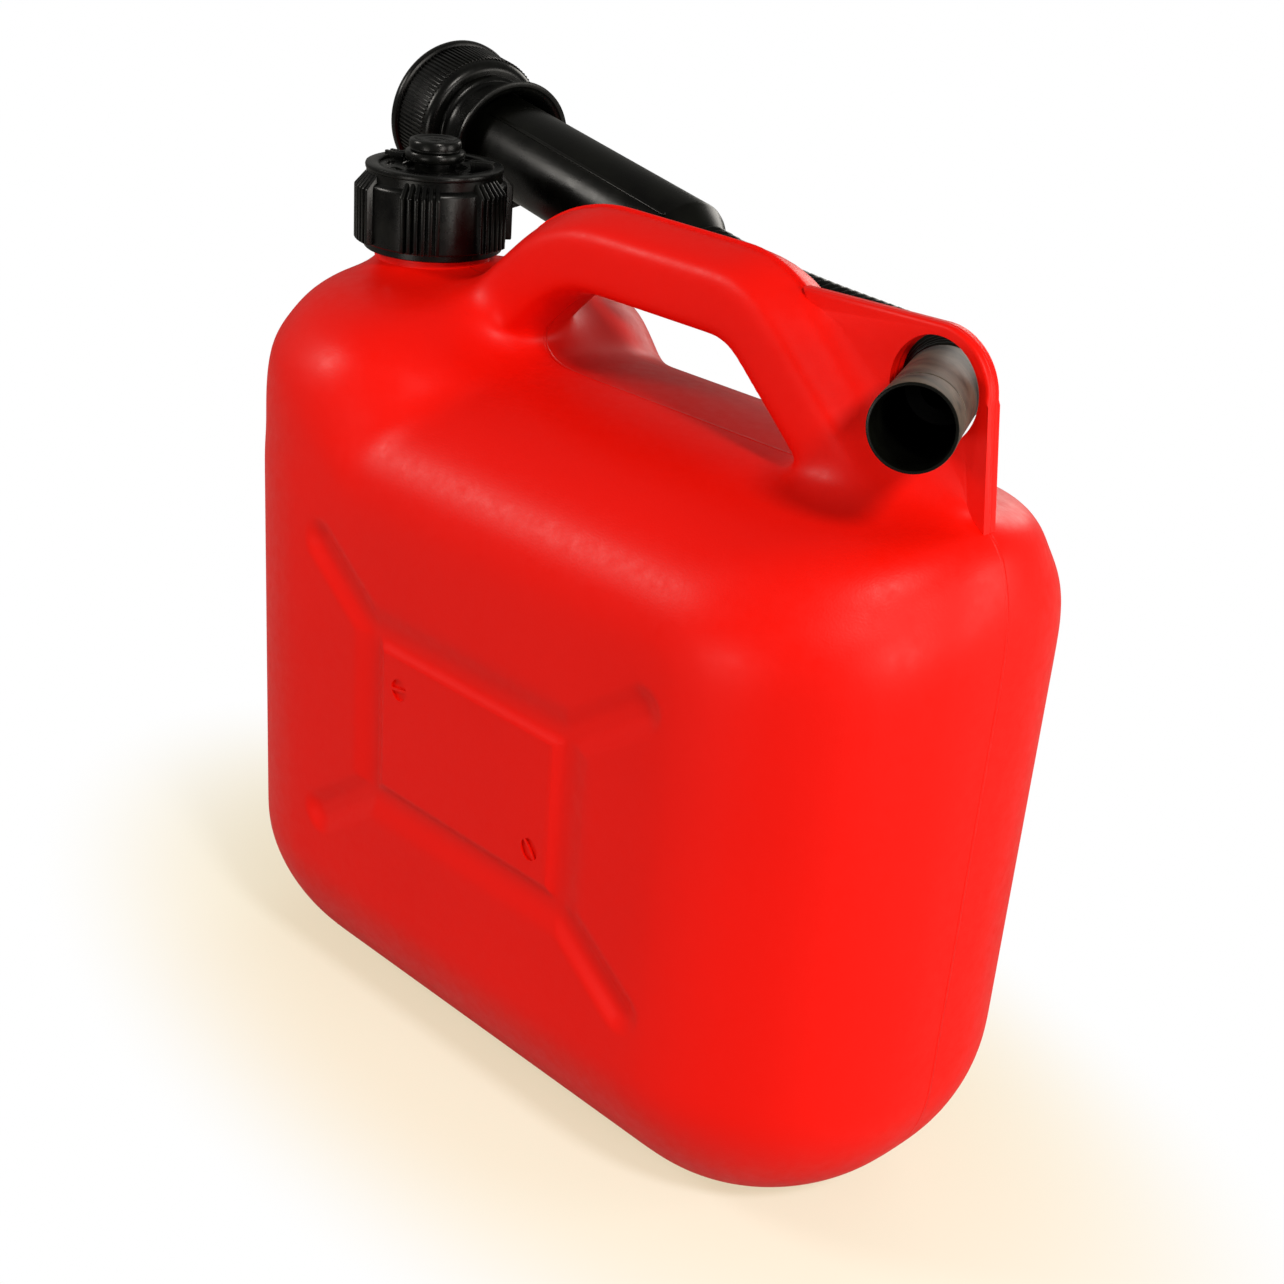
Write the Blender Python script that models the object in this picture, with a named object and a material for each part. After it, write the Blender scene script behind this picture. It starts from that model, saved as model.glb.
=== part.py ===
"""Five-litre plastic fuel canister with a screw cap and a flexible pouring spout stored behind its handle.

Metres, +Z up. X runs along the length, front (filler neck) at -X, rear (storage fin) at +X.
The origin is the middle of the flat base, on the surface that the canister stands on.
"""
import math

import bmesh
import bpy
from mathutils import Matrix, Vector

MM = 0.001

# Canister: blow-moulded shell
LENGTH = 265 * MM
WIDTH = 130 * MM
WALL = 1.6 * MM
CORNER_RADIUS = 58 * MM
BASE_RADIUS = 46 * MM
BASE_SIDE_REACH = 37 * MM
BASE_SIDE_POWER = 1.6
REAR_LEAN = 2 * MM
LEDGE_HEIGHT = 209.5 * MM
LEDGE_HALF_WIDTH = 4.5 * MM
SIDE_SHOULDER_DROP = 40 * MM
SIDE_SHOULDER_POWER = 2.5
END_SHOULDER_DROP = 32.5 * MM
END_SHOULDER_REACH = 12.5 * MM
HUMP_RISE = 17.5 * MM
HUMP_HEIGHT = LEDGE_HEIGHT + HUMP_RISE
HUMP_SIDE_DROP = 45 * MM
HUMP_SIDE_POWER = 3.1
HUMP_FRONT_DROP = 24.5 * MM
HUMP_FRONT_REACH = 29.5 * MM
HUMP_TOP_HALF_WIDTH = 8 * MM
HUMP_FOOT_BEHIND_NECK = 57 * MM
HUMP_RAMP = 24 * MM
HUMP_REAR_CORNER = 60 * MM
HUMP_MARGIN = 0.4 * MM
CORNER_FLAT = 0.25 * MM
NECK_SETBACK = 37.5 * MM
NECK_X = NECK_SETBACK - LENGTH / 2
HUMP_REAR_FOOT = NECK_X + HUMP_FOOT_BEHIND_NECK
HUMP_REAR_TOP = HUMP_REAR_FOOT - HUMP_RAMP

# Handle: a hollow arch in the mid-plane, from the hump behind the neck to the rear shoulder
HANDLE_WIDTH = 28 * MM
HANDLE_RISE = 52 * MM
HANDLE_TOP = LEDGE_HEIGHT + HANDLE_RISE
HANDLE_DEPTH = 24.5 * MM
HANDLE_FRONT_DEPTH = 27.5 * MM
HANDLE_REAR_DEPTH = 25 * MM
HANDLE_CROWN = 5.5 * MM
HANDLE_CROWN_POWER = 1.25
HANDLE_EDGE_DROP = 2.5 * MM
HANDLE_EDGE_POWER = 4
HANDLE_BELLY = 3.5 * MM
HANDLE_WALL = 3 * MM
HANDLE_FRONT_BEND = 48 * MM
HANDLE_REAR_BEND = 26 * MM
HANDLE_ROOT_SINK = 4.5 * MM
HANDLE_ROOT_BEHIND_NECK = 19 * MM
HANDLE_BEND_BEHIND_NECK = 68 * MM
HANDLE_BEND_SETBACK = 86.5 * MM
HANDLE_KNEE_SETBACK = 36.5 * MM
HANDLE_REAR_SINK = 24.5 * MM
HANDLE_REAR_SETBACK = 29.5 * MM
HANDLE_FRONT_ROOT = (NECK_X + HANDLE_ROOT_BEHIND_NECK, LEDGE_HEIGHT - HANDLE_ROOT_SINK)
HANDLE_FRONT_BEND_X = NECK_X + HANDLE_BEND_BEHIND_NECK
HANDLE_REAR_BEND_X = LENGTH / 2 - HANDLE_BEND_SETBACK
HANDLE_REAR_KNEE = (LENGTH / 2 - HANDLE_KNEE_SETBACK, LEDGE_HEIGHT - HANDLE_ROOT_SINK)
HANDLE_REAR_ROOT = (LENGTH / 2 - HANDLE_REAR_SETBACK, LEDGE_HEIGHT - HANDLE_REAR_SINK)

# Fin behind the handle, with the hole that holds the spout's tip
FIN_THICKNESS = 4.5 * MM
FIN_HOLE_RADIUS = 13.8 * MM
FIN_HOLE_SETBACK = 28.8 * MM
FIN_HOLE_RISE = 30.5 * MM
FIN_HOLE_X = LENGTH / 2 - FIN_HOLE_SETBACK
FIN_HOLE_Z = LEDGE_HEIGHT + FIN_HOLE_RISE
FIN_RIM = 3 * MM
FIN_LEAN = 4 / 30.5
FIN_ROOT_DEPTH = 24 * MM

# Panel moulded into each broad side
PANEL_X = 4.2 * MM
PANEL_RAISE = 4.75 * MM
PANEL_Z = (BASE_RADIUS + LEDGE_HEIGHT - SIDE_SHOULDER_DROP) / 2 + PANEL_RAISE
PLATE_HALF_LENGTH = 37 * MM
PLATE_HALF_HEIGHT = 22 * MM
PLATE_CORNER = 2 * MM
GROOVE_WIDTH = 8 * MM
GROOVE_DEPTH = 1.5 * MM
GROOVE_DRAFT = 1.2 * MM
ARM_HALF_SPAN = 69 * MM
ARM_HALF_RISE = 46.5 * MM

# Filler neck and the thread that the cap and the spout's nut share
NECK_RADIUS = 18 * MM
NECK_BORE_RADIUS = 15.8 * MM
NECK_HEIGHT = 24 * MM
NECK_TOP = HUMP_HEIGHT + NECK_HEIGHT
THREAD_PITCH = 4.5 * MM
THREAD_TURNS = 1.5
THREAD_HEIGHT = 1.3 * MM
THREAD_ROOT_WIDTH = 2.2 * MM
THREAD_CREST_WIDTH = 0.8 * MM
THREAD_START_DEPTH = 11.5 * MM
THREAD_STEPS_PER_TURN = 20
THREAD_FADE_STEPS = 3
THREAD_PHASE_DEG = 2
THREAD_END_SHARE = 0.15

# Filler cap
CAP_SKIRT_DEPTH = 18.7 * MM
CAP_BARREL_DEPTH = 16.5 * MM
CAP_BARREL_SHOULDER = 0.5 * MM
CAP_CROWN_RISE = 7 * MM
CAP_SKIRT_BOTTOM = NECK_TOP - CAP_SKIRT_DEPTH
CAP_BARREL_BOTTOM = NECK_TOP - CAP_BARREL_DEPTH
CAP_BARREL_TOP = NECK_TOP - CAP_BARREL_SHOULDER
CAP_TOP = NECK_TOP + CAP_CROWN_RISE
CAP_SKIRT_RADIUS = 21.4 * MM
CAP_BARREL_RADIUS = 22.8 * MM
CAP_CROWN_RADIUS = 21.4 * MM
CAP_RIB_RADIUS = 24.5 * MM
CAP_BORE_RADIUS = 20 * MM
CAP_ROOF = 2.4 * MM
CAP_RECESS_RADIUS = 18.6 * MM
CAP_RIB_GROUPS = 6
CAP_RIBS_PER_GROUP = 6
CAP_RIB_PITCH_DEG = 5.2
CAP_RIB_PHASE_DEG = 11
CAP_RIB_WIDTH = 1.5 * MM
CAP_RIB_RISE = 4 * MM
CAP_RIB_TOP = NECK_TOP + CAP_RIB_RISE
CAP_RIB_CHAMFER = 3 * MM
LUG_COUNT = 6
LUG_RADIUS = 12.5 * MM
LUG_LENGTH = 6 * MM
LUG_THICKNESS = 1.4 * MM
LUG_HEIGHT = 2.6 * MM

# Gasket under the cap's roof and vent plug through its middle
GASKET_THICKNESS = 1.5 * MM
GASKET_INNER_RADIUS = 14.2 * MM
VENT_STEM_RADIUS = 6.2 * MM
VENT_HEAD_RADIUS = 9 * MM
VENT_HEAD_THICKNESS = 3 * MM
VENT_STAND = 10 * MM
VENT_DEPTH = 5 * MM

# Pouring spout: straight axis from the nut's open end to the end of the rigid tube
MOUTH_BEFORE_NECK = 61 * MM
MOUTH_BESIDE_HANDLE = 42.5 * MM
MOUTH_BELOW_HANDLE_TOP = 2 * MM
TUBE_END_BEHIND_NECK = 72.64 * MM
TUBE_END_BESIDE_HANDLE = 24.32 * MM
TUBE_END_BELOW_HANDLE_TOP = 19.2 * MM
NUT_MOUTH = Vector((NECK_X - MOUTH_BEFORE_NECK, HANDLE_WIDTH / 2 + MOUTH_BESIDE_HANDLE,
                    HANDLE_TOP - MOUTH_BELOW_HANDLE_TOP))
TUBE_END = Vector((NECK_X + TUBE_END_BEHIND_NECK, HANDLE_WIDTH / 2 + TUBE_END_BESIDE_HANDLE,
                   HANDLE_TOP - TUBE_END_BELOW_HANDLE_TOP))
NUT_LENGTH = 21.5 * MM
NUT_BEAD_RADIUS = 24.4 * MM
NUT_BEAD_LENGTH = 3.2 * MM
NUT_RADIUS = 23.5 * MM
NUT_SHOULDER = 3 * MM
NUT_COLLAR_BORE = 16.6 * MM
NUT_FLANGE_SEAT = 17 * MM
FLANGE_RADIUS = 19.2 * MM
FLANGE_THICKNESS = 2 * MM
ADAPTOR_NECK_RADIUS = 16.2 * MM
STEP_RING_RADIUS = 18.6 * MM
STEP_RING_LENGTH = 2.6 * MM
BELL_RIM_RADIUS = 21.3 * MM
BELL_LENGTH = 14.5 * MM
BELL_WALL = 1.8 * MM
SPIGOT_RADIUS = 13.1 * MM
SPIGOT_BORE = 11.6 * MM
SPIGOT_LENGTH = 12 * MM
TUBE_RADIUS = 15 * MM
TUBE_WALL = 1.6 * MM
TAPER_LENGTH = 7 * MM
TAPER_RADIUS = 9.6 * MM
NOZZLE_WALL = 1.2 * MM
NOZZLE_LENGTH = 12 * MM

# Corrugated hose and the tip that its far end carries through the fin's hole
HOSE_RIB_RADIUS = 10.6 * MM
HOSE_ROOT_RADIUS = 9.2 * MM
HOSE_BORE_RADIUS = 7.9 * MM
HOSE_RIB_PITCH = 3.5 * MM
HOSE_SWEEP_SHARE = 0.42
HOSE_BEND_SHARE = 0.24
HOSE_STRAIGHT = 19.8 * MM
BORE_OVERRUN = 2 * MM
HOSE_SIDES = 8
TIP_TURN_DEG = 61.2
TIP_RISE_DEG = 3.8
TIP_SAG = 1.1 * MM
TIP_RADIUS = 10.6 * MM
TIP_WALL = 1.2 * MM
TIP_STICK_OUT = 40 * MM
TIP_INSET = 8.3 * MM
TIP_SHOULDER = 1.5 * MM

# Gap between pieces that seat on each other, small edge bevel, depth to which joined features sink in
CLEARANCE = 0.3 * MM
EDGE = 0.6 * MM
SINK = 0.5 * MM

# Steps of the round shapes
FINE_SIDES = 48
MEDIUM_SIDES = 32
BASE_STEPS = 5
SHOULDER_STEPS = 8
CORNER_STEPS = 6
HUMP_STEPS = 7
BEND_STEPS = 4
CROWN_STEPS = 8
BELLY_STEPS = 4
FIN_CORNER_STEPS = 8
ARM_TIP_STEPS = 5
FLARE_STEPS = 5
DOME_STEPS = 3
SWEEP_SAMPLES = 240
STRAIGHT_SAMPLES = 40


def clear_scene():
    """Starts from an empty scene."""
    for obj in list(bpy.data.objects):
        bpy.data.objects.remove(obj, do_unlink=True)


def material(name, colour, roughness, specular=0.5):
    """A plain plastic: linear base colour, roughness and no metal."""
    mat = bpy.data.materials.new(name)
    mat.use_nodes = True
    shader = mat.node_tree.nodes["Principled BSDF"]
    shader.inputs["Base Color"].default_value = (*colour, 1.0)
    shader.inputs["Roughness"].default_value = roughness
    shader.inputs["Metallic"].default_value = 0.0
    shader.inputs["Specular IOR Level"].default_value = specular
    mat.diffuse_color = (*colour, 1.0)
    return mat


def add_object(name, bm, mat=None):
    """Turns a bmesh into a named object with outward faces."""
    bmesh.ops.recalc_face_normals(bm, faces=bm.faces)
    mesh = bpy.data.meshes.new(name)
    bm.to_mesh(mesh)
    bm.free()
    mesh.shade_smooth()
    mesh.set_sharp_from_angle(angle=math.radians(40))
    obj = bpy.data.objects.new(name, mesh)
    bpy.context.scene.collection.objects.link(obj)
    if mat:
        mesh.materials.append(mat)
    return obj


def hide_as_tool(obj):
    """Marks an object that only cuts or joins others."""
    obj.hide_render = True
    obj.display_type = "WIRE"
    return obj


def boolean(target, tool, operation):
    """Adds an exact Boolean of a hidden tool object to the target."""
    hide_as_tool(tool)
    modifier = target.modifiers.new(operation.title(), "BOOLEAN")
    modifier.operation = operation
    modifier.solver = "EXACT"
    modifier.object = tool


def loft(rings):
    """A closed solid through rings of equal point counts, capped at both ends."""
    bm = bmesh.new()
    loops = [[bm.verts.new(p) for p in ring] for ring in rings]
    for first, second in zip(loops, loops[1:]):
        count = len(first)
        for i in range(count):
            j = (i + 1) % count
            bm.faces.new((first[i], first[j], second[j], second[i]))
    bm.faces.new(reversed(loops[0]))
    bm.faces.new(loops[-1])
    return bm


def turned(profile, sides):
    """A solid of revolution about Z from (radius, height) points; points on the axis become poles."""
    bm = bmesh.new()
    columns = []
    for i in range(sides):
        angle = 2 * math.pi * i / sides
        column = []
        for radius, height in profile:
            column.append(bm.verts.new((radius * math.cos(angle), radius * math.sin(angle), height)))
        columns.append(column)
    closed = all(radius > 0 for radius, _ in profile)
    steps = len(profile) if closed else len(profile) - 1
    for i in range(sides):
        left, right = columns[i], columns[(i + 1) % sides]
        for k in range(steps):
            m = (k + 1) % len(profile)
            bm.faces.new((left[k], right[k], right[m], left[m]))
    bmesh.ops.remove_doubles(bm, verts=bm.verts, dist=1e-7)
    bmesh.ops.dissolve_degenerate(bm, edges=bm.edges, dist=1e-7)
    return bm


def prism(outline, low, high, axis):
    """Extrudes a closed 2-D outline between two coordinates; axis 'Y' reads it as (x, z), 'Z' as (x, y)."""
    def place(point, level):
        return (point[0], level, point[1]) if axis == "Y" else (point[0], point[1], level)
    return loft([[place(p, low) for p in outline], [place(p, high) for p in outline]])


def arc(centre, radius, start_deg, end_deg, steps):
    """Points on a circle in a plane, both ends included."""
    points = []
    for i in range(steps + 1):
        angle = math.radians(start_deg + (end_deg - start_deg) * i / steps)
        points.append((centre[0] + radius * math.cos(angle), centre[1] + radius * math.sin(angle)))
    return points


def axis_frame(origin, direction):
    """A matrix whose Z axis is the direction and whose X axis stays level."""
    z = direction.normalized()
    x = Vector((0, 0, 1)).cross(z).normalized()
    y = z.cross(x)
    return Matrix.Translation(origin) @ Matrix((x, y, z)).transposed().to_4x4()


def shoulder_inset(z, top, drop, reach, power):
    """How far a shoulder has drawn in at a height: power 2 is a quarter ellipse, more is boxier."""
    rise = min(max((z - top + drop) / drop, 0.0), 1.0)
    return reach * (1 - (1 - rise ** power) ** (1 / power))


def shoulder_levels(top, drop, power, steps):
    """Heights that space a shoulder's rings evenly, from its foot to its top."""
    return [top - drop + drop * math.sin(math.pi / 2 * k / steps) ** (2 / power) for k in range(steps + 1)]


def footprint(rear, front, half_width, rear_corner, front_corner, z):
    """Level ring of a rounded rectangle between two ends; the rear corners take what the front ones leave."""
    front_corner = min(front_corner, half_width - CORNER_FLAT)
    rear_corner = min(rear_corner, half_width - CORNER_FLAT, rear - front - front_corner - CORNER_FLAT)
    corners = (
        (rear - rear_corner, half_width - rear_corner, rear_corner),
        (front + front_corner, half_width - front_corner, front_corner),
        (front + front_corner, front_corner - half_width, front_corner),
        (rear - rear_corner, rear_corner - half_width, rear_corner),
    )
    ring = []
    for quarter, (x, y, radius) in enumerate(corners):
        ring += arc((x, y), radius, 90 * quarter, 90 * quarter + 90, CORNER_STEPS)
    return [(x, y, z) for x, y in ring]


def shell_solid(offset):
    """The rounded body without its hump: level rings from base to ledge, drawn in by an offset."""
    half_length, half_width = LENGTH / 2 - offset, WIDTH / 2 - offset
    base, corner, top = BASE_RADIUS - offset, CORNER_RADIUS - offset, LEDGE_HEIGHT - offset
    drop = SIDE_SHOULDER_DROP - offset
    rings = []
    for k in range(BASE_STEPS + 1):
        angle = math.pi / 2 * k / BASE_STEPS
        inset = base * (1 - math.sin(angle))
        side = shoulder_inset(math.cos(angle), 1, 1, BASE_SIDE_REACH - offset, BASE_SIDE_POWER)
        end = half_length - inset
        z = offset + base * (1 - math.cos(angle))
        rings.append(footprint(end, -end, half_width - side, corner - inset, corner - inset, z))
    for z in shoulder_levels(top, drop, SIDE_SHOULDER_POWER, SHOULDER_STEPS):
        side = shoulder_inset(z, top, drop, half_width - LEDGE_HALF_WIDTH, SIDE_SHOULDER_POWER)
        end = half_length - shoulder_inset(z, top, END_SHOULDER_DROP - offset, END_SHOULDER_REACH - offset, 2)
        rings.append(footprint(end + REAR_LEAN, -end, half_width - side, corner, corner, z))
    return loft(rings)


def hump_solid(offset):
    """The raised front that carries the neck, with its own shoulders and a ramp down to the ledge."""
    front = LENGTH / 2 - HUMP_MARGIN - offset
    half_width = WIDTH / 2 - HUMP_MARGIN - offset
    top, corner = HUMP_HEIGHT - offset, CORNER_RADIUS - offset
    drop = HUMP_SIDE_DROP - offset
    slope = (HUMP_REAR_TOP - HUMP_REAR_FOOT) / (HUMP_HEIGHT - LEDGE_HEIGHT)
    levels = shoulder_levels(top, drop, HUMP_SIDE_POWER, HUMP_STEPS)
    rings = []
    for z in [levels[0] - drop, *levels]:
        side = shoulder_inset(z, top, drop, half_width - HUMP_TOP_HALF_WIDTH, HUMP_SIDE_POWER)
        end = -front + shoulder_inset(z, top, HUMP_FRONT_DROP - offset, HUMP_FRONT_REACH - offset, 2)
        rear = HUMP_REAR_FOOT - offset + slope * (max(z, levels[0]) + offset - LEDGE_HEIGHT)
        rings.append(footprint(rear, end, half_width - side, HUMP_REAR_CORNER, corner, z))
    return loft(rings)


def handle_path():
    """Centre line of the handle as (x, z, section depth), with rounded bends."""
    level = HANDLE_TOP - HANDLE_DEPTH / 2
    corners = [HANDLE_FRONT_ROOT, (HANDLE_FRONT_BEND_X, level), (HANDLE_REAR_BEND_X, level),
               HANDLE_REAR_KNEE, HANDLE_REAR_ROOT]
    depths = [HANDLE_FRONT_DEPTH, HANDLE_DEPTH, HANDLE_DEPTH, HANDLE_REAR_DEPTH, HANDLE_REAR_DEPTH]
    bends = [HANDLE_FRONT_BEND, HANDLE_REAR_BEND, HANDLE_REAR_BEND]
    path = [(*corners[0], depths[0])]
    for before, here, after, depth, bend in zip(corners, corners[1:], corners[2:], depths[1:], bends):
        into = (Vector(here) - Vector(before)).normalized()
        out = (Vector(after) - Vector(here)).normalized()
        turn = into.angle(out)
        inward = Vector((into.y, -into.x))
        centre = Vector(here) - into * bend * math.tan(turn / 2) + inward * bend
        for k in range(BEND_STEPS + 1):
            spoke = Matrix.Rotation(-turn * k / BEND_STEPS, 2) @ -inward
            point = centre + spoke * bend
            path.append((point.x, point.y, depth))
    path.append((*corners[-1], depths[-1]))
    return path


def crown_drop(across, height):
    """Fall of the handle's crown below its ridge, at a point of the unit half circle over the section."""
    slope = HANDLE_CROWN * abs(across) ** HANDLE_CROWN_POWER
    return slope + HANDLE_EDGE_DROP * max(1 - height, 0.0) ** HANDLE_EDGE_POWER


def handle_solid(offset):
    """Sweeps the handle's section along its centre line: upright sides, roof-like crown and flat belly."""
    path = handle_path()
    half_width = HANDLE_WIDTH / 2 - offset
    rings = []
    for i, (x, z, depth) in enumerate(path):
        back = Vector(path[max(i - 1, 0)][:2])
        ahead = Vector(path[min(i + 1, len(path) - 1)][:2])
        along = (ahead - back).normalized()
        crown = arc((0, 0), 1, 0, 180, CROWN_STEPS)
        section = [(y, depth / 2 - offset - crown_drop(y, d)) for y, d in crown]
        belly = arc((0, 0), 1, 180, 360, BELLY_STEPS)
        section += [(y, -depth / 2 + offset + HANDLE_BELLY * (1 + d)) for y, d in belly]
        rings.append([(x - along.y * d, y * half_width, z + along.x * d) for y, d in section])
    return loft(rings)


def fin_outline():
    """Side view of the storage fin: level top, corner concentric with the hole, leaning rear edge."""
    radius = FIN_HOLE_RADIUS + FIN_RIM
    corner = arc((FIN_HOLE_X, FIN_HOLE_Z), radius, 90, 0, FIN_CORNER_STEPS)
    root_z = LEDGE_HEIGHT - FIN_ROOT_DEPTH
    root_x = FIN_HOLE_X + radius + FIN_LEAN * (FIN_HOLE_Z - root_z)
    return [(HANDLE_REAR_BEND_X + HANDLE_DEPTH / 2, FIN_HOLE_Z + radius - HANDLE_WALL / 2), *corner,
            (root_x, root_z), (HANDLE_REAR_KNEE[0] + HANDLE_WALL, root_z)]


def meet(point_a, heading_a, point_b, heading_b):
    """Where two lines in a plane cross."""
    cross = heading_a.x * heading_b.y - heading_a.y * heading_b.x
    between = point_b - point_a
    return point_a + heading_a * ((between.x * heading_b.y - between.y * heading_b.x) / cross)


def groove_outline(half_width):
    """Outer edge of the panel's grooves, in side view: a frame with an arm out of each corner."""
    frame_x = PLATE_HALF_LENGTH + GROOVE_WIDTH / 2
    frame_z = PLATE_HALF_HEIGHT + GROOVE_WIDTH / 2
    outline = []
    for sign_x, sign_z in ((1, 1), (-1, 1), (-1, -1), (1, -1)):
        corner = Vector((sign_x * frame_x, sign_z * frame_z))
        tip = Vector((sign_x * ARM_HALF_SPAN, sign_z * ARM_HALF_RISE))
        heading = (tip - corner).normalized()
        across = Vector((-heading.y, heading.x)) * half_width
        upright = (Vector((sign_x * (frame_x + half_width), 0)), Vector((0, 1)))
        level = (Vector((0, sign_z * (frame_z + half_width))), Vector((1, 0)))
        first, last = (upright, level) if sign_x == sign_z else (level, upright)
        angle = math.degrees(math.atan2(heading.y, heading.x))
        outline.append(tuple(meet(*first, tip - across, heading)))
        outline += arc(tip, half_width, angle - 90, angle + 90, ARM_TIP_STEPS)
        outline.append(tuple(meet(*last, tip + across, heading)))
    return [(PANEL_X + x, PANEL_Z + z) for x, z in outline]


def plate_outline(grow):
    """Edge of the raised plate inside the grooves, grown by a margin, with rounded corners."""
    half_x, half_z = PLATE_HALF_LENGTH + grow - PLATE_CORNER, PLATE_HALF_HEIGHT + grow - PLATE_CORNER
    outline = []
    for quarter, (sign_x, sign_z) in enumerate(((1, 1), (-1, 1), (-1, -1), (1, -1))):
        centre = (PANEL_X + sign_x * half_x, PANEL_Z + sign_z * half_z)
        outline += arc(centre, PLATE_CORNER, 90 * quarter, 90 * quarter + 90, 2)
    return outline


def side_rings(outlines, levels):
    """Places outlines in side view at levels of Y."""
    return [[(x, level, z) for x, z in outline] for outline, level in zip(outlines, levels)]


def groove_tool(name, side, wall):
    """Solid that fills one side's grooves and the space outside them, grown by a wall on every face."""
    face = side * WIDTH / 2
    floor = face - side * (GROOVE_DEPTH + wall)
    outside = face + side * 4 * GROOVE_DEPTH
    slope = GROOVE_DRAFT * (outside - floor) / (side * GROOVE_DEPTH)
    deep, shallow = GROOVE_WIDTH / 2 - GROOVE_DRAFT + wall, GROOVE_WIDTH / 2 - GROOVE_DRAFT + wall + slope
    outlines = [groove_outline(deep), groove_outline(shallow)]
    groove = add_object(name, loft(side_rings(outlines, [floor, outside])))
    plate_floor = floor - side * GROOVE_DEPTH
    plate_slope = GROOVE_DRAFT * (outside + side * GROOVE_DEPTH - plate_floor) / (side * GROOVE_DEPTH)
    edges = [plate_outline(2 * GROOVE_DRAFT - wall), plate_outline(2 * GROOVE_DRAFT - wall - plate_slope)]
    plate = add_object(f"{name}_plate", loft(side_rings(edges, [plate_floor, outside + side * GROOVE_DEPTH])))
    boolean(groove, plate, "DIFFERENCE")
    return groove


def thread_ridge(radius, inward, start_z):
    """A helical ridge of trapezoid section whose ends sink into its wall; inward ridges face the axis."""
    sign = -1 if inward else 1
    root = radius - sign * SINK
    crest = radius + sign * THREAD_HEIGHT
    steps = round(THREAD_TURNS * THREAD_STEPS_PER_TURN)
    rings = []
    for i in range(steps + 1):
        angle = math.radians(THREAD_PHASE_DEG) + 2 * math.pi * i / THREAD_STEPS_PER_TURN
        middle = start_z + THREAD_PITCH * i / THREAD_STEPS_PER_TURN
        fade = min(1.0, min(i, steps - i) / THREAD_FADE_STEPS)
        reach = root + (crest - root) * (THREAD_END_SHARE + (1 - THREAD_END_SHARE) * fade)
        section = [(root, -THREAD_ROOT_WIDTH / 2), (reach, -THREAD_CREST_WIDTH / 2),
                   (reach, THREAD_CREST_WIDTH / 2), (root, THREAD_ROOT_WIDTH / 2)]
        rings.append([(r * math.cos(angle), r * math.sin(angle), middle + h) for r, h in section])
    return loft(rings)


def disc(name, radius, low, high):
    """An upright round bar on the neck's axis between two heights."""
    bar = add_object(name, turned([(0, 0), (radius, 0), (radius, high - low), (0, high - low)], FINE_SIDES))
    bar.location = (NECK_X, 0, low)
    return bar


def make_canister(red):
    """The blow-moulded body: shell, hump, hollow handle, fin with its hole, threaded neck and side panels."""
    body = add_object("canister_body", shell_solid(0.0), red)
    hump = add_object("tool_hump", hump_solid(0.0))
    handle = add_object("tool_handle", handle_solid(0.0))
    fin = add_object("tool_fin", prism(fin_outline(), -FIN_THICKNESS / 2, FIN_THICKNESS / 2, "Y"))
    neck = disc("tool_neck", NECK_RADIUS, LEDGE_HEIGHT, NECK_TOP)
    ridge = add_object("tool_neck_thread", thread_ridge(NECK_RADIUS, False, -THREAD_START_DEPTH))
    ridge.location = (NECK_X, 0, NECK_TOP)
    boolean(neck, ridge, "UNION")
    for tool in (hump, handle, fin, neck):
        boolean(body, tool, "UNION")
    for side in (-1, 1):
        boolean(body, groove_tool(f"tool_groove_{side}", side, 0.0), "DIFFERENCE")
    hole = add_object("tool_fin_hole", prism(
        arc((FIN_HOLE_X, FIN_HOLE_Z), FIN_HOLE_RADIUS, 0, 360 - 360 / MEDIUM_SIDES, MEDIUM_SIDES - 1),
        -2 * FIN_THICKNESS, 2 * FIN_THICKNESS, "Y"))
    boolean(body, hole, "DIFFERENCE")
    boolean(body, make_cavity(), "DIFFERENCE")
    return body


def make_cavity():
    """The liquid space: the shell drawn in by the wall, the handle's channel and the neck's bore."""
    cavity = add_object("tool_cavity", shell_solid(WALL))
    hollow = add_object("tool_hump_hollow", hump_solid(WALL))
    channel = add_object("tool_channel", handle_solid(HANDLE_WALL))
    bore = disc("tool_bore", NECK_BORE_RADIUS, LEDGE_HEIGHT - NECK_RADIUS, NECK_TOP + NECK_RADIUS)
    for tool in (hollow, channel, bore):
        boolean(cavity, tool, "UNION")
    for side in (-1, 1):
        boolean(cavity, groove_tool(f"tool_ridge_{side}", side, WALL), "DIFFERENCE")
    return hide_as_tool(cavity)


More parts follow.
